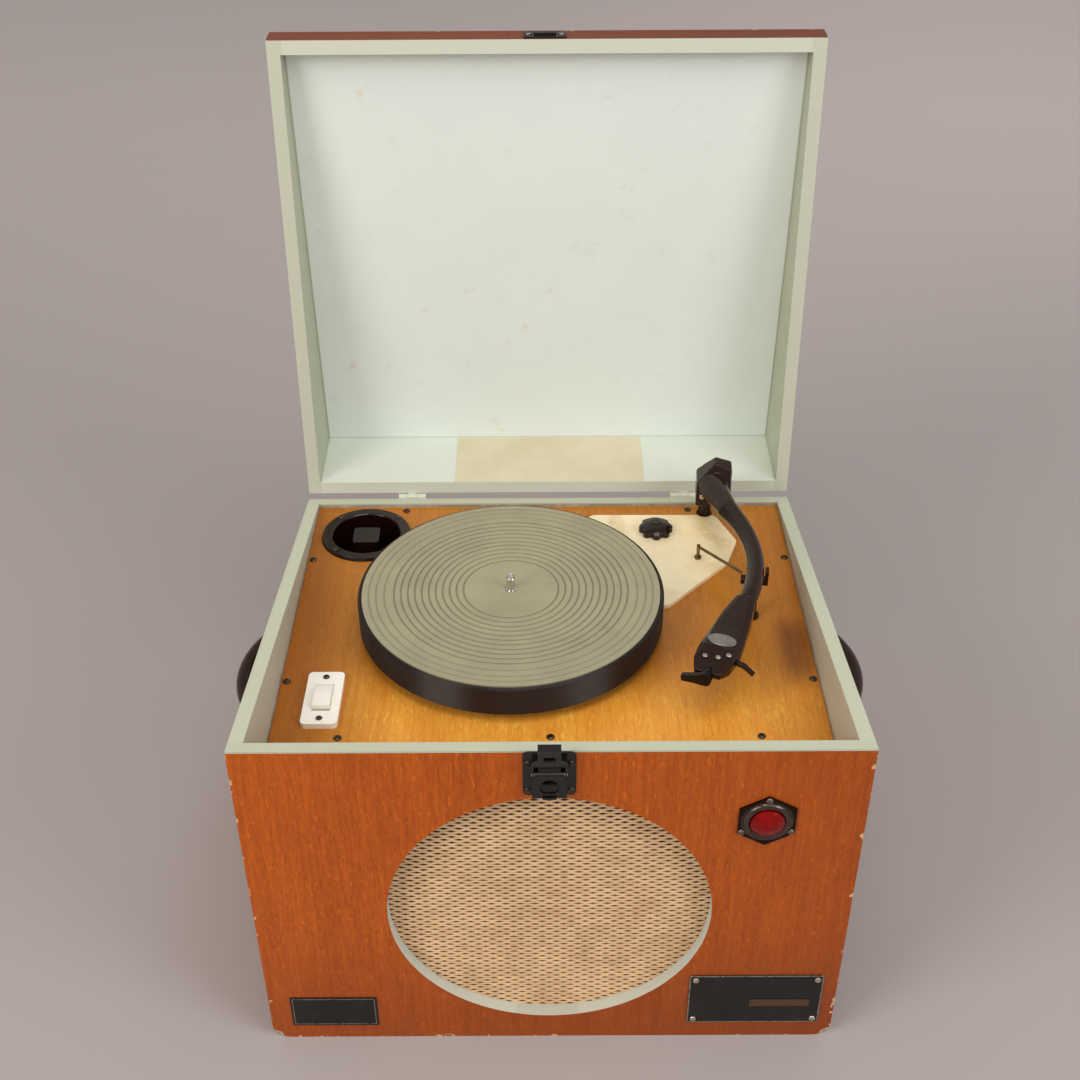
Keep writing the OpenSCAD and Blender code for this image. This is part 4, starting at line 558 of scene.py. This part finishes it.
ragged = f.noise(420, 3, 0.6).between(0.30, 0.55)
for box, line_at, line_wide in ((RIGHT_PLATE, 0.0, 0.0011), (LEFT_PLATE, 0.0016, 0.0007)):
    line = f.within(*inset(box, line_at)) - f.within(*inset(box, line_at + line_wide))
    shade = f.mix(line * ragged * 0.75, shade, tint(150, 140, 122))
bar = f.within(*BAR)
shade = f.mix(bar * (0.75 + ragged * 0.15), shade, tint(104, 76, 52))
finishes["plate_black"] = f.look(shade, 0.36 + cloud * 0.14, cloud + specks * 0.4, 0.00003,
                                 Metallic=bar * 0.5)
f = Finish("speaker_cloth")
x, y, z = f.axes()
THREADS = 5200           # the cloth's weave, in radians to the metre
threads = (x * THREADS).after("SINE") * (z * THREADS).after("SINE")
cloud = f.noise(18, 4, 0.6)
shade = f.mix(threads.between(-0.6, 0.8) * 0.5 + cloud * 0.3, tint(122, 86, 52), tint(160, 122, 82))
# A painted shadow of the panel's lip darkens the cloth under the top and the sides of the hole, and less so
# below.
HOLE_AT = (0.004, 0.136)
out = distance(x, z, HOLE_AT)
shade = f.mix(out.between(0.098, 0.114) * 0.92, shade, tint(40, 22, 10))
finishes["cloth"] = f.look(shade, 0.85, threads, 0.00025)
f = Finish("paper_label")
cloud = f.noise(16, 5, 0.65).between(0.35, 0.75)
fibres = f.noise(600, 3, 0.7)
shade = f.mix(cloud * 0.4 + fibres * 0.15, tint(212, 204, 176), tint(186, 172, 134))
finishes["paper_label"] = f.look(shade, 0.66, fibres + cloud, 0.00012)
print("finishes:", sorted(finishes))

# %% [markdown]
# ## Soft edges
# Exact solids have knife edges, and no real board, moulding or pressing does. Each visible piece is a
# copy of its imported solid, with the loose triangles merged and flat faces joined, and then a small
# bevel on the sharp edges. The faces keep smooth shading, and normals weighted by area keep each flat
# flat. Bakelite mouldings have no hard edge at all, so a second way recasts them in small even faces and
# smooths those. The copy stands for the solid, so nothing moves.
# %% Copy, bevel and dress a node
CAD_BODY = {node: body for body, members in frame["record"]["behaviour"]["bodies"].items()
            for node in members}


def solid_of(node):
    """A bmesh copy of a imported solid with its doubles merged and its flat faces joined."""
    mesh = bmesh.new()
    mesh.from_mesh(nodes[node].data)
    bmesh.ops.remove_doubles(mesh, verts=mesh.verts, dist=1e-6)
    bmesh.ops.dissolve_limit(mesh, angle_limit=math.radians(0.5), verts=mesh.verts, edges=mesh.edges)
    return mesh


def shaped(name, mesh):
    """Turns a bmesh into an object."""
    data = bpy.data.meshes.new(name)
    mesh.to_mesh(data)
    mesh.free()
    return placed(name, data)


def plain(piece):
    """Applies every modifier, so that the piece is only its mesh."""
    shown = piece.evaluated_get(bpy.context.evaluated_depsgraph_get())
    mesh = bpy.data.meshes.new_from_object(shown)
    piece.modifiers.clear()
    old, piece.data = piece.data, mesh
    bpy.data.meshes.remove(old)
    return piece


def settled(piece, node, material, body=None):
    """Gives a finished piece its finish and body, and lets it stand for its node."""
    piece.data.materials.clear()
    piece.data.materials.append(material)
    for face in piece.data.polygons:
        face.material_index = 0
    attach(piece, body or CAD_BODY[node])
    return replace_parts(piece, node)


def dressed(node, edge=0.0005, segments=2, angle=32, material=None, mesh=None):
    """The node's own shape with its sharp edges eased by edge, in metres."""
    piece = shaped(node + "_eased", mesh or solid_of(node))
    piece.data.shade_smooth()
    ease = piece.modifiers.new("ease", "BEVEL")
    ease.width, ease.segments, ease.limit_method = edge, segments, "ANGLE"
    ease.angle_limit = math.radians(angle)
    ease.miter_outer = "MITER_ARC"
    flats = piece.modifiers.new("flats", "WEIGHTED_NORMAL")
    flats.mode, flats.weight = "FACE_AREA", 100
    return settled(plain(piece), node, material or finishes[node_slot[node]])


def flat_boards(piece, share=0.02):
    """Gives each large plane of a board its exact normal, so that gloss runs evenly over its long faces."""
    data, planes = piece.data, {}
    for face in data.polygons:
        key = tuple(round(c, 2) for c in face.normal)
        planes[key] = planes.get(key, 0) + face.area
    least = share * sum(planes.values())
    large = [Vector(key).normalized() for key, area in planes.items() if area > least]
    normals = [Vector(corner.vector) for corner in data.corner_normals]
    for face in data.polygons:
        near = max(large, key=face.normal.dot)
        if near.dot(face.normal) > 0.97:
            face.use_smooth = False
            for k in face.loop_indices:
                normals[k] = near
    data.normals_split_custom_set(normals)


def swelling(mesh, stations, sides=28):
    """Adds a closed tube to a bmesh through stations, each a centre and a radius."""
    rings = []
    for k, (centre, radius) in enumerate(stations):
        way = (stations[min(k + 1, len(stations) - 1)][0] - stations[max(k - 1, 0)][0]).normalized()
        side = way.cross(Vector((0, 0, 1))).normalized()
        top = side.cross(way)
        rings.append([mesh.verts.new(centre + (side * math.cos(a) + top * math.sin(a)) * radius)
                      for a in (n * math.tau / sides for n in range(sides))])
    faces = [mesh.faces.new((low[n], low[(n + 1) % sides], high[(n + 1) % sides], high[n]))
             for low, high in zip(rings, rings[1:]) for n in range(sides)]
    faces += [mesh.faces.new(rings[0]), mesh.faces.new(rings[-1])]
    bmesh.ops.recalc_face_normals(mesh, faces=faces)


def moulded_soft(node, grain, rounds, stations=()):
    """The node's shape recast as fine even faces and smoothed, for mouldings with no hard edge."""
    mesh = solid_of(node)
    if stations:
        swelling(mesh, stations)
    piece = shaped(node + "_soft", mesh)
    recast = piece.modifiers.new("recast", "REMESH")
    recast.mode, recast.voxel_size, recast.use_smooth_shade = "VOXEL", grain, True
    soften = piece.modifiers.new("soften", "SMOOTH")
    soften.factor, soften.iterations = 0.5, rounds
    piece = settled(plain(piece), node, finishes[node_slot[node]])
    print(node, len(piece.data.polygons), "faces")


print("bodies:", len(set(CAD_BODY.values())))

# %% [markdown]
# ## What repeats
# The grille is expanded metal: a sheet is slit in staggered rows and pulled, so that each slit opens into
# a diamond and each strand twists a little out of the sheet. It could be modelled link by link, but one
# link and a rule say it better. A recipe is a Geometry Nodes tree with named inputs. It is written like
# a finish, run once on one small mesh and turned into a plain mesh.
# %% Recipe
class Recipe(Graph):
    """A Geometry Nodes tree. Each keyword becomes a named input with that value as its default."""
    KINDS = {float: "Float", int: "Int", tuple: "Vector"}

    def __init__(self, name, **inputs):
        self.tree = bpy.data.node_groups.new(name, "GeometryNodeTree")
        face = self.tree.interface
        face.new_socket("Shape", in_out="OUTPUT", socket_type="NodeSocketGeometry")
        self.sockets = {"Shape": face.new_socket("Shape", in_out="INPUT", socket_type="NodeSocketGeometry")}
        for label, value in inputs.items():
            kind = {"Finish": "Material", "Head": "Object"}.get(label) or self.KINDS[type(value)]
            self.sockets[label] = face.new_socket(label, in_out="INPUT", socket_type="NodeSocket" + kind)
            if value is not None:
                self.sockets[label].default_value = value
        start = self.tree.nodes.new("NodeGroupInput")
        self.given = {socket.name: Wire(self, socket) for socket in start.outputs if socket.name}
        self.place = self.add("GeometryNodeInputPosition", {}, {})

    def attribute(self, name, kind="FLOAT"):
        """A value that the points themselves carry."""
        return self.add("GeometryNodeInputNamedAttribute", {"data_type": kind}, {"Name": name})

    def both(self, *shapes):
        """Joins several shapes, which go into one socket."""
        join = self.tree.nodes.new("GeometryNodeJoinGeometry")
        for shape in shapes:
            self.tree.links.new(shape.socket, join.inputs[0])
        return Wire(self, join.outputs[0])

    def done(self, shape):
        """Ends the tree: real geometry that carries its finish."""
        real = self.add("GeometryNodeRealizeInstances", {}, {"Geometry": shape})
        coated = self.add("GeometryNodeSetMaterial", {}, {"Geometry": real, "Material": self.given["Finish"]})
        end = self.tree.nodes.new("NodeGroupOutput")
        self.tree.links.new(coated.socket, end.inputs[0])

    def made(self, name, mesh, **values):
        """Runs the recipe on a mesh, with its inputs set by identifier, and keeps the plain result."""
        piece = placed(name, mesh)
        grow = piece.modifiers.new(name, "NODES")
        grow.node_group = self.tree
        for label, value in values.items():
            grow[self.sockets[label].identifier] = value
        return plain(piece)


# %% [markdown]
# One link is a bond with four half strands. Each strand leans back towards its upper edge, as the pulled
# metal does, so light from above catches it. Rows stand half a diamond apart and every other row is
# moved by half a width. Links outside the panel's hole are left out. A number is kept on every link, so
# the finish can vary its lacquer a little.
# %% Grille of expanded metal
GRILLE_AT = Vector((-0.0015, -0.19545, 0.150))
MESH_WIDE, MESH_HIGH, STRAND = 0.0112, 0.0059, 0.00130

weave = Recipe("expanded_metal", Width=MESH_WIDE, Height=MESH_HIGH, Radius=0.1272, Centre=tuple(GRILLE_AT),
               Seed=5, Finish=None)
wide, high, reach = weave.given["Width"], weave.given["Height"], weave.given["Radius"]
columns = (reach * 2 / wide).after("CEIL") + 3
rows = (reach * 4 / high).after("CEIL") + 3
grid = weave.add("GeometryNodeMeshGrid", {},
                 {"Size X": (columns - 1) * wide, "Size Y": (rows - 1) * high * 0.5,
                  "Vertices X": columns, "Vertices Y": rows})
x, y, z = weave.axes()
row = ((y + (rows - 1) * high * 0.25) / (high * 0.5)).after("ROUND")
odd = row.sum("MODULO", row, 2.0)
staggered = weave.add("GeometryNodeSetPosition", {},
                      {"Geometry": grid, "Position": weave.joined(x + odd * wide * 0.5, 0.0, y)})
x, y, z = weave.axes()
kept = weave.add("GeometryNodeDeleteGeometry", {"domain": "POINT"},
                 {"Geometry": staggered, "Selection": (x * x + z * z) ** 0.5 > reach})
links = weave.add("GeometryNodeInstanceOnPoints", {}, {"Points": kept, "Instance": weave.given["Shape"]})
chance = weave.add("FunctionNodeRandomValue", {"data_type": "FLOAT"}, {"Seed": weave.given["Seed"]}, 1)
links = weave.add("GeometryNodeStoreNamedAttribute", {"data_type": "FLOAT", "domain": "INSTANCE"},
                  {"Geometry": links, "Name": "tone", "Value": chance})
sheet = weave.add("GeometryNodeRealizeInstances", {}, {"Geometry": links})
weave.done(weave.add("GeometryNodeTransform", {}, {"Geometry": sheet, "Translation": weave.given["Centre"]}))

# The strand's cross-section leans: each corner has its depth behind the front, and its rise.
section = [(0.0, -0.5 * STRAND), (0.00050, 0.5 * STRAND), (0.00115, 0.5 * STRAND), (0.00060, -0.5 * STRAND)]
corners, faces = [], []
for side in (1, -1):
    for rise in (1, -1):
        first = len(corners)
        for far, middle in ((0, rise * STRAND / 2), (side * MESH_WIDE / 4, rise * MESH_HIGH / 4)):
            corners += [(far, deep, middle + tall) for deep, tall in section]
        for k in range(4):
            quad = [first + k, first + (k + 1) % 4, first + 4 + (k + 1) % 4, first + 4 + k]
            faces.append(quad if side < 0 else quad[::-1])
link = bpy.data.meshes.new("grille_link")
link.from_pydata(corners, [], faces)

f = Finish("grille_lacquer", Specular_IOR_Level=0.4)
tone = f.named("tone")
cloud = f.noise(34, 4, 0.6).between(0.35, 0.72)
shade = f.mix(tone * 0.35 + cloud * 0.35, tint(236, 198, 154), tint(192, 152, 108))
finishes["grille_gold"] = f.look(shade, 0.46 + cloud * 0.12, f.noise(900, 2, 0.5), 0.00003)
grille = weave.made("expanded_grille", link, Finish=finishes["grille_gold"])
settled(grille, "grille_mesh", finishes["grille_gold"])
print("grille:", len(grille.data.polygons), "faces")

# %% [markdown]
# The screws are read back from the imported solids: each has its seat, its axis, its head and its shank.
# A second recipe stands one domed, slotted head and one plain shank on every seat, and turns each slot by
# chance, as a fitter would have left it. Plain pins among them keep their own shape.
# %% Screws read from the solids
def islands(mesh):
    """The separate solids in a bmesh, each as its list of faces, in the order of the mesh."""
    left, found = set(mesh.faces), []
    for first in mesh.faces:
        if first not in left:
            continue
        left.discard(first)
        wave, group = [first], []
        while wave:
            face = wave.pop()
            group.append(face)
            for near in (other for edge in face.edges for other in edge.link_faces):
                if near in left:
                    left.discard(near)
                    wave.append(near)
        found.append(group)
    return found


def read_screw(group):
    """Seat, axis, head radius, head height, shank radius and length of one solid, or None for a pin."""
    axis = max(group, key=lambda face: face.calc_area()).normal.copy()
    spots = [v.co for v in dict.fromkeys(v for face in group for v in face.verts)]
    middle = sum(spots, Vector()) / len(spots)
    along = [(spot - middle).dot(axis) for spot in spots]
    away = [((spot - middle) - axis * t).length for spot, t in zip(spots, along)]
    most = max(away)
    head = [t for t, r in zip(along, away) if r > most * 0.97]
    if max(head) - min(head) > 0.6 * (max(along) - min(along)):
        return None
    if abs(max(along) - max(head)) > abs(min(along) - min(head)):
        axis, along, head = -axis, [-t for t in along], [-t for t in head]
    shank = [r for t, r in zip(along, away) if t < min(head) - 1e-5]
    seat = middle + axis * min(head)
    return seat, axis, most, max(along) - min(head), max(shank), min(head) - min(along)


def domed_head(sides=20):
    """A screw head of radius 1 and height 1 with a slot across it."""
    shape = bmesh.new()
    angles = [k * math.tau / sides for k in range(sides)]
    loops = [[shape.verts.new((r * math.cos(a), r * math.sin(a), h)) for a in angles]
             for r, h in ((1.0, 0.0), (1.0, 0.35), (0.93, 0.60), (0.76, 0.84), (0.46, 1.0))]
    for low, high in zip(loops, loops[1:]):
        for k in range(sides):
            shape.faces.new((low[k], low[(k + 1) % sides], high[(k + 1) % sides], high[k]))
    shape.faces.new(loops[-1])
    shape.faces.new(loops[0][::-1])
    head = shaped("domed_head", shape)
    cube = bmesh.new()
    slot = Matrix.Translation((0, 0, 1.0)) @ Matrix.Diagonal((0.24, 3, 1.0, 1))
    bmesh.ops.create_cube(cube, size=1, matrix=slot)
    cutter = shaped("slot_cutter", cube)
    cut = head.modifiers.new("slot", "BOOLEAN")
    cut.object, cut.operation, cut.solver = cutter, "DIFFERENCE", "EXACT"
    plain(head)
    bpy.data.objects.remove(cutter)
    return head


# %% [markdown]
# Old screws differ in how much bright metal still shows, so every seat carries a number for its polish.
# The nickel screws of the blank plate, the lamp's and the arm's are bright, and those in wood are dark.
# Those of the cream plate under the turntable were enamelled over with it, which is written as -1.
# %% Slotted screws by a second recipe
fitted = Recipe("slotted_screws", Seed=3, Head=None, Finish=None)
seats = fitted.given["Shape"]
facing = fitted.add("FunctionNodeAlignRotationToVector", {"axis": "Z"},
                    {"Vector": fitted.attribute("axis", "FLOAT_VECTOR")})
by_chance = fitted.add("FunctionNodeRandomValue", {"data_type": "FLOAT"},
                       {2: 0.0, 3: math.pi, "Seed": fitted.given["Seed"]}, 1)
by_chance = fitted.add("FunctionNodeAxisAngleToRotation", {}, {"Axis": (0, 0, 1), "Angle": by_chance})
turned_slot = fitted.add("FunctionNodeRotateRotation", {"rotation_space": "LOCAL"},
                         {"Rotation": facing, "Rotate By": by_chance})
head_shape = fitted.add("GeometryNodeObjectInfo", {}, {"Object": fitted.given["Head"]}, "Geometry")
shank_shape = fitted.add("GeometryNodeMeshCylinder", {}, {"Vertices": 12, "Radius": 1.0, "Depth": 1.0})
shank_shape = fitted.add("GeometryNodeTransform", {}, {"Geometry": shank_shape, "Translation": (0, 0, -0.5)})
parts = []
for shape, spin, sizes in ((head_shape, turned_slot, ("head", "head", "rise")),
                           (shank_shape, facing, ("shank", "shank", "depth"))):
    scale = fitted.joined(*(fitted.attribute(size) for size in sizes))
    parts.append(fitted.add("GeometryNodeInstanceOnPoints", {},
                            {"Points": seats, "Instance": shape, "Rotation": spin, "Scale": scale}))
fitted.done(fitted.both(*parts))

f = Finish("aged_screws")
polish = f.named("polish")
cloud = f.noise(300, 4, 0.65).between(0.35, 0.7)
shade = f.mix(cloud * 0.7, tint(104, 92, 80), tint(46, 38, 33))
shade = f.mix(polish.most(0.0) * (1 - cloud * 0.35), shade, tint(222, 214, 200))
enamelled = polish < -0.5
shade = f.mix(enamelled, shade, tint(236, 216, 176))
finishes["steel_screws"] = f.look(shade, 0.36 - polish * 0.12 + cloud * 0.1, cloud, 0.00002,
                                  Metallic=1 - enamelled)


def polish_at(seat, node):
    """How bright the screw on this seat is, or -1 for an enamelled one."""
    if node == "arm_screws":
        return 0.8
    if seat.y < -HALF_D - SKIN and seat.x > 0.1:
        return 1.0 if seat.z < 0.12 else 0.3
    on_cream_plate = seat.x > -0.06 and seat.y > -0.1 and 0.259 < seat.z < 0.2675
    if node == "fitting_screws" and on_cream_plate:
        return -1.0
    return 0.35 if node == "lid_screws" else 0.0


head = domed_head()
for node in ("fitting_screws", "deck_screws", "lid_screws", "arm_screws"):
    solids = solid_of(node)
    found, pins = [], []
    for group in islands(solids):
        read = read_screw(group)
        found += [read] if read else []
        pins += [] if read else group
    if pins:
        wanted = set(pins)
        bmesh.ops.delete(solids, geom=[face for face in solids.faces if face not in wanted], context="FACES")
        dressed(node, 0.0002, mesh=solids)
    else:
        solids.free()
    seats, axes, *measures = zip(*found)
    measures.append([polish_at(seat, node) for seat in seats])
    points = bpy.data.meshes.new(node + "_seats")
    points.from_pydata(list(seats), [], [])
    for name, numbers in zip(("head", "rise", "shank", "depth", "polish"), measures):
        points.attributes.new(name, "FLOAT", "POINT").data.foreach_set("value", numbers)
    ways = points.attributes.new("axis", "FLOAT_VECTOR", "POINT")
    ways.data.foreach_set("vector", [part for axis in axes for part in axis])
    screws = fitted.made(node + "_slotted", points, Head=head, Finish=finishes["steel_screws"])
    settled(screws, node, finishes["steel_screws"])
    print(node, len(found), "screws", len(pins), "pin faces", [round(n * 1000, 1) for n in found[0][2:]])
bpy.data.objects.remove(head)

# %% [markdown]
# The wooden parts have edges sanded to about half a millimetre. Pressed and turned metal is crisper. The
# two lower front corners have been knocked round by years of setting down. The same smooth pull moves
# all three boards that meet there, after their faces are cut finely near the corner.
# %% Case, deck and lid
def knocked(mesh, reach=0.015, pull=(0.0045, 0.0015, 0.0045), cuts=8):
    """Cuts a bmesh finely near the two lower front corners, and draws the corners inwards."""
    for side in (-1, 1):
        corner = Vector((side * HALF_W, -HALF_D, 0))
        for axis, way in enumerate((-side, 1, 1)):
            normal = Vector((axis == 0, axis == 1, axis == 2))
            for k in range(1, cuts + 1):
                bmesh.ops.bisect_plane(mesh, geom=mesh.verts[:] + mesh.edges[:] + mesh.faces[:],
                                       plane_co=corner + normal * way * reach * k / cuts, plane_no=normal)
        for spot in mesh.verts:
            near = 1 - (spot.co - corner).length / reach
            if near > 0:
                spot.co += Vector((-side * pull[0], pull[1], pull[2])) * near * near
    return mesh


for node in ("case_front", "case_sides"):
    flat_boards(dressed(node, 0.0007, mesh=knocked(solid_of(node))))
flat_boards(dressed("case_back", 0.0007))
for node in ("lid_frame", "lid_panel"):
    flat_boards(dressed(node, 0.0006, material=finishes["lid_veneer"]))
dressed("case_bottom", 0.0006, mesh=knocked(solid_of("case_bottom")))
for node in ("case_battens", "speaker_baffle"):
    dressed(node, 0.0006)
flat_boards(dressed("deck_board", 0.0006))
dressed("lid_label", 0.0001)

# %% [markdown]
# A few pieces look unlike their kind: the stylus holder has blackened, the rod has browned, the badge has
# gone dull, and the cup and the two knobs are a very dark, very glossy red-brown moulding.
# %% Fittings
dark_gloss = moulded("dark_red_bakelite", tint(27, 9, 6), tint(46, 26, 20), 0.08, 0.12,
                     Specular_IOR_Level=0.45)
own_look = {"stylus_holder": finishes["black_plastic"],
            "control_cup": dark_gloss, "volume_knob": dark_gloss, "speed_knob": dark_gloss,
            "trip_rod": metal("browned_rod", tint(138, 116, 88), tint(66, 52, 38), 0.34, 0.7),
            "head_badge": metal("dulled_badge", tint(166, 162, 160), tint(112, 108, 104), 0.30, 0.6)}
for node in ("unit_plate", "platter", "platter_mat", "spindle", "control_cup", "volume_knob", "speed_knob",
             "switch_plate", "switch_rocker", "arm_pillar", "arm_yoke", "head_badge", "stylus_holder",
             "arm_rest", "trip_rod", "latch_plate", "latch_lever", "latch_claw", "latch_pin", "latch_keeper",
             "case_hinge_leaves", "lid_hinge_leaves", "carrying_handles", "handle_brackets", "lamp_bezel",
             "lamp_lens", "name_plates", "speaker_cloth"):
    dressed(node, 0.0003, material=own_look.get(node))
print("fittings with a look of their own:", sorted(own_look))

# %% [markdown]
# The arm's bend is an arc, and its neck falls into the housing. A swelling tube is laid along both, so
# that the recast melts the neck, its collar and the housing into one moulding. The solids that are left
# lie out of sight inside the case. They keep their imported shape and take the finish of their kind.
# %% Arm, head and hidden works
BEND_AT, BEND_R, ARM_Z = (0.01401, 0.04915), 0.160, 0.3045
# Degrees round the bend, or metres back from its end along the neck, each with the tube's radius there.
BEND_SIZES = ((24.5, 0.0092), (22.5, 0.0087), (20, 0.0083), (16, 0.0079), (11, 0.0077), (6, 0.0075),
              (2, 0.0070))
NECK_SIZES = ((0.050, 0.0125), (0.036, 0.0118), (0.022, 0.0107), (0.010, 0.0098))
NECK_WAY = Vector((-0.2068, 0.973, -0.102))


def on_bend(degrees):
    """A place on the middle line of the arm's bend."""
    angle = math.radians(degrees)
    return Vector((BEND_AT[0] + BEND_R * math.cos(angle), BEND_AT[1] + BEND_R * math.sin(angle), ARM_Z))


along_bend = [(on_bend(degrees), radius) for degrees, radius in BEND_SIZES]
along_neck = [(along_bend[0][0] + NECK_WAY * back, radius) for back, radius in NECK_SIZES]
moulded_soft("tonearm", 0.0008, 14, along_neck + along_bend)
moulded_soft("head_shell", 0.0006, 10)
moulded_soft("finger_lift", 0.0003, 6)
for node, thing in nodes.items():
    if not thing.hide_render:
        thing.data.materials.clear()
        thing.data.materials.append(finishes[node_slot[node]])
        thing.data.shade_smooth()
